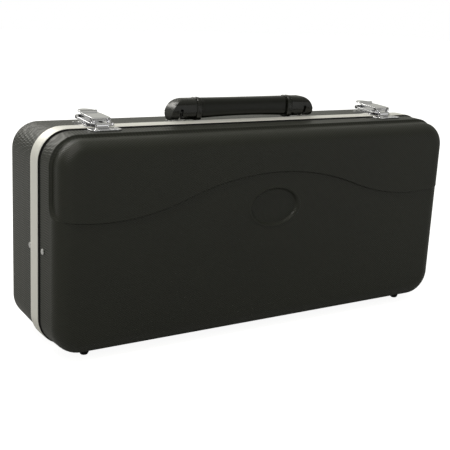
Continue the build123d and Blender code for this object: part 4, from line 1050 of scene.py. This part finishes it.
class CASE_OT_latches(Operator):
    """Two chromed draw latches: base, hasp, lever and catch"""

    bl_idname = "case.latches"
    bl_label = "Latches"

    def execute(self, context):
        for side, name in ((-1, "left"), (1, "right")):
            made = (
                ("base", base_plate_surface, "base", f"latch_base_{name}"),
                ("hasp", hasp_surface, f"hasp_{name}", f"latch_hasp_{name}"),
                ("lever", lever_surface, f"lever_{name}", f"latch_lever_{name}"),
                ("catch", catch_surface, "lid", f"catch_plate_{name}"),
            )
            for kind, surface, body, node in made:
                plate, finish = surface(side * LATCH_X), chrome_finish()
                add_piece(f"chromed_{kind}_{name}", plate, body, finish, node, sharp=38)
        return {"FINISHED"}


# Handle


def handle_surface(x, half_width, low, high):
    """Closed surface through sections at the places x along the handle: each is a rounded box
    whose sides are a power of the circle's cosine and sine."""
    angle = linspace(0, 2 * pi, 40, endpoint=False)
    across, upward = (np.sign(part) * abs(part) ** 0.62 for part in (cos(angle), sin(angle)))
    y = HANDLE_Y + half_width[:, None] * across
    z = TOP_Z + ((low + high) / 2)[:, None] + ((high - low) / 2)[:, None] * upward
    return loft(ended(along_x(x, y, z)))


class CASE_OT_handle(Operator):
    """Carrying handle: padded grip with an arched underside, raised bands and moulded ends"""

    bl_idname = "case.handle"
    bl_label = "Handle"

    def execute(self, context):
        look = context.scene.case_handle_look
        end, half_width = 0.0614, 0.0100
        x = end * sin(arcs(-90, 90, 61))
        share = abs(x) / end
        tuck = 0.0010 * smooth_step((share - 0.93) / 0.07)
        low = 0.0025 + look.arch * (1 - share**2) + tuck
        high = HANDLE_HIGH - 0.0002 * (1 - share**2) - tuck
        grip = handle_surface(x, half_width - 0.0006 * share**2 - tuck, low, high)
        finish = grip_finish()
        add_piece("padded_grip", grip, "handle", finish, "handle_grip")
        run = array([0, 0, 4, 12, 22, 35, 48, 58, 66, 70, 70]) / 10000
        swell = array([-16, -2, 5, 9, 6, 5, 6, 9, 5, -2, -16]) / 10000
        for side, name in ((-1, "left"), (1, "right")):
            x = side * (end + 0.00005 + run)
            band = handle_surface(x, half_width + swell, 0.0012 - swell, HANDLE_HIGH + swell)
            node = f"handle_band_{name}"
            add_piece(f"raised_band_{name}", band, "handle", cap_finish(), node)
            moulded, plated = f"moulded_end_{name}", f"plated_bracket_{name}"
            softened(f"handle_cap_{name}", moulded, cap_finish(), 0.0009, 0.1)
            softened(f"handle_bracket_{name}", plated, steel_finish(), 0.0003)
        return {"FINISHED"}


# Lining


def box_ring(box, inset, shape, corner):
    """X and Z of a box's outline drawn in by inset."""
    (low_x, _, low_z), (high_x, _, high_z) = box
    x, z = ring(inset, shape, (high_x - low_x) / 2, (high_z - low_z) / 2, corner)
    return x + (low_x + high_x) / 2, z - MID_Z + (low_z + high_z) / 2


def cushion(box, front_y, back_y, corner):
    """Flat pad with a rounded outline: crowned front, rounded front edge and flat back."""
    soft, crown = bpy.context.scene.case_lining_look.softness, 0.0012
    turn = arcs(90, 0, 6)
    face = linspace(1, 0, 12, endpoint=False)
    half, back = (box[1][2] - box[0][2]) / 2, soft * 0.2
    inset = [soft + (half - soft) * face, soft * (1 - cos(turn)), [0.0, back]]
    inset = concatenate([*inset, back + (half - back) * face[::-2]])
    way = np.sign(back_y - front_y)
    front = concatenate([crown * (1 - face) ** 4, crown + soft * (1 - sin(turn))])
    y = concatenate([front_y + way * front, [back_y - way * 0.0006, back_y], 0 * face[::-2] + back_y])
    x, z = box_ring(box, inset, columns(40, 16, 8), corner)
    return loft(stack([x, y[:, None] + 0 * x, z], -1))


def ribbon(x, low, high, front_y, back_y):
    """Block whose section in Y and Z has softened corners, carried along X between two
    heights."""
    low, high = low[:, None], high[:, None]
    soft = minimum(bpy.context.scene.case_lining_look.softness, (high - low) * 0.3)
    arc = arcs(0, 90, 5)
    share = linspace(0, 0.9, 8)
    middle, half, depth = (low + high) / 2, (high - low) / 2, back_y - front_y
    sides = half - soft + soft * sin(arc)
    up_z = concatenate([share * (half - soft), sides, half * array([1, 1, 0.5, 0.02])], axis=1)
    back = array([0.5 * depth, depth - 0.0004, depth, depth])
    up_y = concatenate([0 * share * half, soft * (1 - cos(arc)), back + 0 * half], axis=1)
    up_y = where(up_y < depth * 0.4, up_y + 0.0010 * (up_z / half) ** 2, up_y)
    z = concatenate([middle + up_z, middle - up_z[:, ::-1]], axis=1)
    y = front_y + concatenate([up_y, up_y[:, ::-1]], axis=1)
    return loft(along_x(x, y, z), caps="pair")


def tray(box):
    """Open box lined with plush: outside wall, rounded rim, inside wall and floor."""
    wall, floor, soft = 0.008, 0.006, 0.003
    (_, front_y, low_z), (_, back_y, high_z) = box
    turn = arcs(0, 180, 9)
    face = linspace(0, 1, 6)
    half, inner, floor_y = (high_z - low_z) / 2, wall + 0.0015, back_y - floor
    inset = [half * face[::-1], [0.0], wall / 2 * (1 - cos(turn)), [wall, wall + 0.0008]]
    inset = concatenate([*inset, inner + (half - inner) * face])
    outside = [0 * face + back_y, [back_y - 0.0005], front_y + soft * (1 - sin(turn))]
    y = concatenate([*outside, [floor_y - 0.002, floor_y - 0.0006], 0 * face + floor_y])
    x, z = box_ring(box, inset, columns(30, 16, 8), 0.010)
    return loft(stack([x, y[:, None] + 0 * x, z], -1))


def holed_block(box, hole_x, hole_z, radius, depth):
    """Padded block with one round hole: outline loops outside, circle loops inside, and the
    front face is the straight blend of the two."""
    soft, lip = 0.004, 0.002
    (low_x, front_y, low_z), (high_x, back_y, high_z) = box
    turn, fold = arcs(0, 90, 6), arcs(90, 0, 5)
    x, z = box_ring(box, concatenate([[0.0], soft * (1 - cos(turn))]), columns(24, 24, 8), 0.006)
    angle = np.arctan2(z[0] - hole_z, x[0] - hole_x)
    reach = concatenate([radius + lip * (1 - cos(fold)), radius * array([1, 0.6, 0])])[:, None]
    share = array([[0.25], [0.5], [0.75]])

    def rows(line, middle, hole):
        """Rows from the back's middle over the outline and the front face into the hole."""
        face = line[-1] + (hole[0] - line[-1]) * share
        return concatenate([[0 * line[0] + middle], line, face, hole])

    x = rows(x, (low_x + high_x) / 2, hole_x + reach * cos(angle))
    z = rows(z, (low_z + high_z) / 2, hole_z + reach * sin(angle))
    front = [soft * (1 - sin(turn)), zeros(3), lip * (1 - sin(fold)), zeros(3) + depth]
    y = concatenate([[back_y, back_y], front_y + concatenate(front)])
    return loft(stack([x, y[:, None] + 0 * x, z], -1))


class CASE_OT_lining(Operator):
    """Plush-covered insert of the base and pad of the lid"""

    bl_idname = "case.lining"
    bl_label = "Lining"

    def execute(self, context):
        def plush(name, surface, node, body="base"):
            """Adds a padded piece for a node."""
            name, finish = f"plush_{name}", lining_finish()
            add_piece(name, surface, body, finish, node, sharp=50)

        low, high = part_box("lid_pad")
        plush("lid_pad", cushion((low, high), high.y, low.y, 0.008), "lid_pad", "lid")
        low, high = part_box("insert_floor_pad")
        plush("floor_pad", cushion((low, high), low.y, high.y, 0.010), "insert_floor_pad")
        plush("accessory_tray", tray(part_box("accessory_tray")), "accessory_tray")
        for name, count in (("slide_block", 12), ("end_pad_left", 6), ("end_pad_right", 6)):
            low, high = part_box(name)
            x = linspace(low.x, high.x, count)
            plush(name, ribbon(x, low.z + 0 * x, high.z + 0 * x, low.y, high.y), name)
        (x0, y0, z0), (x1, y1, z1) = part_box("mouthpiece_block")
        centre, gap = (x0 + x1) / 2, 0.0001
        halves = ((-1, "left", x0, centre - gap), (1, "right", centre + gap, x1))
        for side, name, start, stop in halves:
            half = ((start, y0, z0), (stop, y1, z1))
            block = holed_block(half, centre + side * 0.031, (z0 + z1) / 2, 0.014, 0.070)
            plush(f"mouthpiece_pad_{name}", block, "mouthpiece_block")
        throat, bell_length = 0.0655, 0.1716
        for level, name in ((-1, "bell_block_low"), (1, "bell_block_high")):
            (x0, y0, z0), (x1, y1, z1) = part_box(name)
            flare = (linspace(0.070, 0.2376, 26), linspace(0.239, x1, 4))
            x = concatenate([linspace(x0, throat, 10), [0.0660, 0.0664], *flare])
            share = clip((x - 0.066) / bell_length, 0, 1)
            bell = MID_Z + level * (0.028 + 0.038 * share - 0.044 * share * (1 - share))
            outer = (z0 if level < 0 else z1) + 0 * x
            inner = where(x < throat + 0.0003, outer - level * 0.012, bell)
            plush(name, ribbon(x, minimum(outer, inner), maximum(outer, inner), y0, y1), name)
        return {"FINISHED"}


# Hardware and stage


def foot_surface(x, y, tall):
    """Foot: low dome on the ground, straight side and a rounded flange under the shell."""
    turn = arcs(0, 78, 9)
    dome = [(0, 0), (0, 0.0020), *zip(0.0053 * (1 - cos(turn)), 0.0026 + 0.0029 * sin(turn))]
    flange = ((12, 55), (12, 60), (9, 62), (2, 62), (0, 60), (0, 0))
    dome += [(tall - down / 10000, radius / 10000) for down, radius in flange]
    return turned((x, y, 0), (0, 0, 1), dome, 28)


def seal_surface():
    """Seal: bead that shows beside the valance, carried round the outline and sunk at the
    hinges."""
    centre_y, radius, out, foot, sunk = -0.02575, 0.00037, 0.0008, 0.0023, 0.0006
    arc = arcs(0, 180, 9)
    bead = stack([centre_y + radius * cos(arc), -out - radius * sin(arc)], -1)
    profile = concatenate([bead, [(centre_y - radius, foot), (centre_y + radius, foot)]])
    shape = columns(208, 30, 16)
    x, z = ring(profile[:, 1], shape)
    flush_x, flush_z = ring(maximum(profile[:, 1], sunk), shape)
    hinged = (z < MID_Z) & (abs(abs(x) - HINGE_X) < 0.021)
    x, z = where(hinged, flush_x, x), where(hinged, flush_z, z)
    return loft(stack([x, profile[:, :1] + 0 * x, z], -1), closed=True)


class CASE_OT_hardware(Operator):
    """Feet, seal, rivets, hinges, stays and pins"""

    bl_idname = "case.hardware"
    bl_label = "Hardware"

    def execute(self, context):
        for half in ("base", "lid"):
            node = f"{half}_feet"
            low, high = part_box(node)
            feet = [foot_surface(x, (low.y + high.y) / 2, high.z) for x in (-FOOT_X, FOOT_X)]
            add_piece(f"domed_feet_{half}", joined(*feet), half, rubber_finish(), node)
        add_piece("rubber_seal", seal_surface(), "lid", seal_black_and_gap_shade_finish(), "lid_seal", sharp=50)
        for node, made in frame["nodes"].items():
            if made.hide_render or node == "lid_valance":
                continue
            made.data.materials.clear()
            latch = node.startswith(("latch", "catch"))
            made.data.materials.append(chrome_finish() if latch else steel_finish())
        for name in ("left", "right"):
            for leaf in ("base", "lid"):
                plate = f"plated_hinge_{leaf}_{name}"
                softened(f"hinge_{leaf}_leaf_{name}", plate, steel_finish(), 0.00025)
        return {"FINISHED"}


def ray_kinds(tree):
    """1 for rays from the camera or through glass, which see the plain white room, and 1 for
    mirrored rays, which see the lit sweep behind the case."""
    rays = tree.nodes.new("ShaderNodeLightPath").outputs
    seen = calc(tree, "MAXIMUM", rays["Is Camera Ray"], rays["Is Transmission Ray"])
    return seen, rays["Is Glossy Ray"]


def floor_finish(look):
    """Matt floor that glows white where the camera sees it, and by its distance in mirrors."""
    tree, place, done = new_material("Studio floor")
    seen, mirrored = ray_kinds(tree)
    far = axes(tree, place)[1]
    sweep = remap(tree, far, 0.1, 0.6, 0.03, look.sweep_floor)
    lit = calc(tree, "ADD", sweep, remap(tree, far, -0.9, -0.35, look.front_floor, 0.0))
    shown = calc(tree, "MULTIPLY", seen, 0.92)
    return done(
        {
            "Base Color": (*look.floor, 1),
            "Roughness": 0.9,
            "Specular IOR Level": 0.1,
            "Emission Color": (1, 1, 1, 1),
            "Emission Strength": calc(tree, "ADD", shown, calc(tree, "MULTIPLY", lit, mirrored)),
        }
    )


def soft_studio(look):
    """World: plain white where the camera sees it, a dome that grows brighter overhead, and a
    pale sweep behind the case for mirrored rays."""
    world = bpy.data.worlds.new("Soft studio")
    world.use_nodes = True
    sky = world.node_tree
    seen, mirrored = ray_kinds(sky)
    place = sky.nodes.new("ShaderNodeTexCoord").outputs["Generated"]
    way = axes(sky, place)
    dome = remap(sky, way[2], 0.0, 0.9, look.horizon, look.zenith)
    behind = remap(sky, way[1], 0.3, 0.8, 0.0, look.backdrop)
    sweep = calc(sky, "MULTIPLY", behind, remap(sky, way[2], 0.25, 0.5, 1.0, 0.0))
    lit = calc(sky, "ADD", dome, calc(sky, "MULTIPLY", sweep, mirrored))
    room = calc(sky, "MULTIPLY", lit, calc(sky, "SUBTRACT", 1.0, seen))
    tint = mix(sky, seen, (1, 1, 0.91, 1), (1, 1, 1, 1))
    fill_in(sky, sky.nodes["Background"], {"Strength": calc(sky, "ADD", room, seen), "Color": tint})
    return world


class CASE_OT_stage(Operator):
    """Pale floor, soft light and the camera at the photograph's angle"""

    bl_idname = "case.stage"
    bl_label = "Stage"

    def execute(self, context):
        look = context.scene.case_stage_look

        def shown(name, data):
            """Object of the data, in the scene."""
            made = bpy.data.objects.new(name, data)
            context.scene.collection.objects.link(made)
            return made

        half = look.floor_size / 2
        mesh = bpy.data.meshes.new("studio_floor")
        mesh.from_pydata([(x, y, 0) for x, y in oblong(-half, half, -half, half)], [], [(0, 1, 2, 3)])
        mesh.materials.append(floor_finish(look))
        shown("studio_floor", mesh)
        context.scene.world = soft_studio(look)

        def lamp(name, place, aim, size, power):
            """Square light at a place, aimed at a point."""
            data = bpy.data.lights.new(name, "AREA")
            data.size = size
            data.energy = power
            data.color = (1.0, 0.98, 0.93)
            made = shown(name, data)
            made.location = place
            made.rotation_euler = (Vector(aim) - Vector(place)).to_track_quat("-Z", "Y").to_euler()

        lamp("Key", (-0.95, -0.45, 1.9), (-0.1, 0, 0.15), 0.3, look.key_power)
        lamp("Left", (-2.0, 0.4, 0.7), (-0.2, 0, 0.12), 1.2, look.left_power)
        lamp("Back", (-0.45, 1.6, 1.3), (-0.1, 0, 0.2), 0.8, look.back_power)

        camera = shown("Photo view", bpy.data.cameras.new("Photo view"))
        camera.data.lens = look.lens
        camera.data.sensor_width = 36.0
        camera.data.clip_end = 50
        place = (-0.613846, -0.905025, 0.395040)
        yaw, pitch, roll = 0.581414, 0.254684, 0.051189
        forward = Vector((sin(yaw) * cos(pitch), cos(yaw) * cos(pitch), -sin(pitch)))
        right = Vector((cos(yaw), -sin(yaw), 0))
        up = right.cross(forward)
        tilted = right * cos(roll) + up * sin(roll)
        upper = up * cos(roll) - right * sin(roll)
        turn = Matrix((tilted, upper, -forward)).transposed().to_4x4()
        camera.matrix_world = Matrix.Translation(place) @ turn
        context.scene.camera = camera
        context.scene.view_settings.view_transform = "Standard"
        return {"FINISHED"}


STEPS = (
    CASE_OT_lid_shell,
    CASE_OT_back_shell,
    CASE_OT_valance,
    CASE_OT_latches,
    CASE_OT_handle,
    CASE_OT_lining,
    CASE_OT_hardware,
    CASE_OT_stage,
)
LOOKS = {
    "case_shell_look": CaseShellLook,
    "case_metal_look": CaseMetalLook,
    "case_handle_look": CaseHandleLook,
    "case_lining_look": CaseLiningLook,
    "case_stage_look": CaseStageLook,
}


class CASE_PT_pieces(Panel):
    """Lists the steps of the case in the sidebar."""

    bl_idname = "CASE_PT_pieces"
    bl_label = "Trumpet case"
    bl_space_type = "VIEW_3D"
    bl_region_type = "UI"
    bl_category = "Case"

    def draw(self, context):
        for step in STEPS:
            self.layout.operator(step.bl_idname)
        for name, look in LOOKS.items():
            values = getattr(context.scene, name)
            for prop in look.__annotations__:
                self.layout.prop(values, prop)


def register():
    for name, look in LOOKS.items():
        bpy.utils.register_class(look)
        setattr(bpy.types.Scene, name, PointerProperty(type=look))
    for made in (*STEPS, CASE_PT_pieces):
        bpy.utils.register_class(made)


def unregister():
    for made in (CASE_PT_pieces, *STEPS[::-1]):
        bpy.utils.unregister_class(made)
    for name, look in LOOKS.items():
        delattr(bpy.types.Scene, name)
        bpy.utils.unregister_class(look)


def main():
    """Registers the classes and builds every piece in order."""
    register()
    for step in STEPS:
        group, name = step.bl_idname.split(".")
        getattr(getattr(bpy.ops, group), name)()


if __name__ == "__main__":
    main()
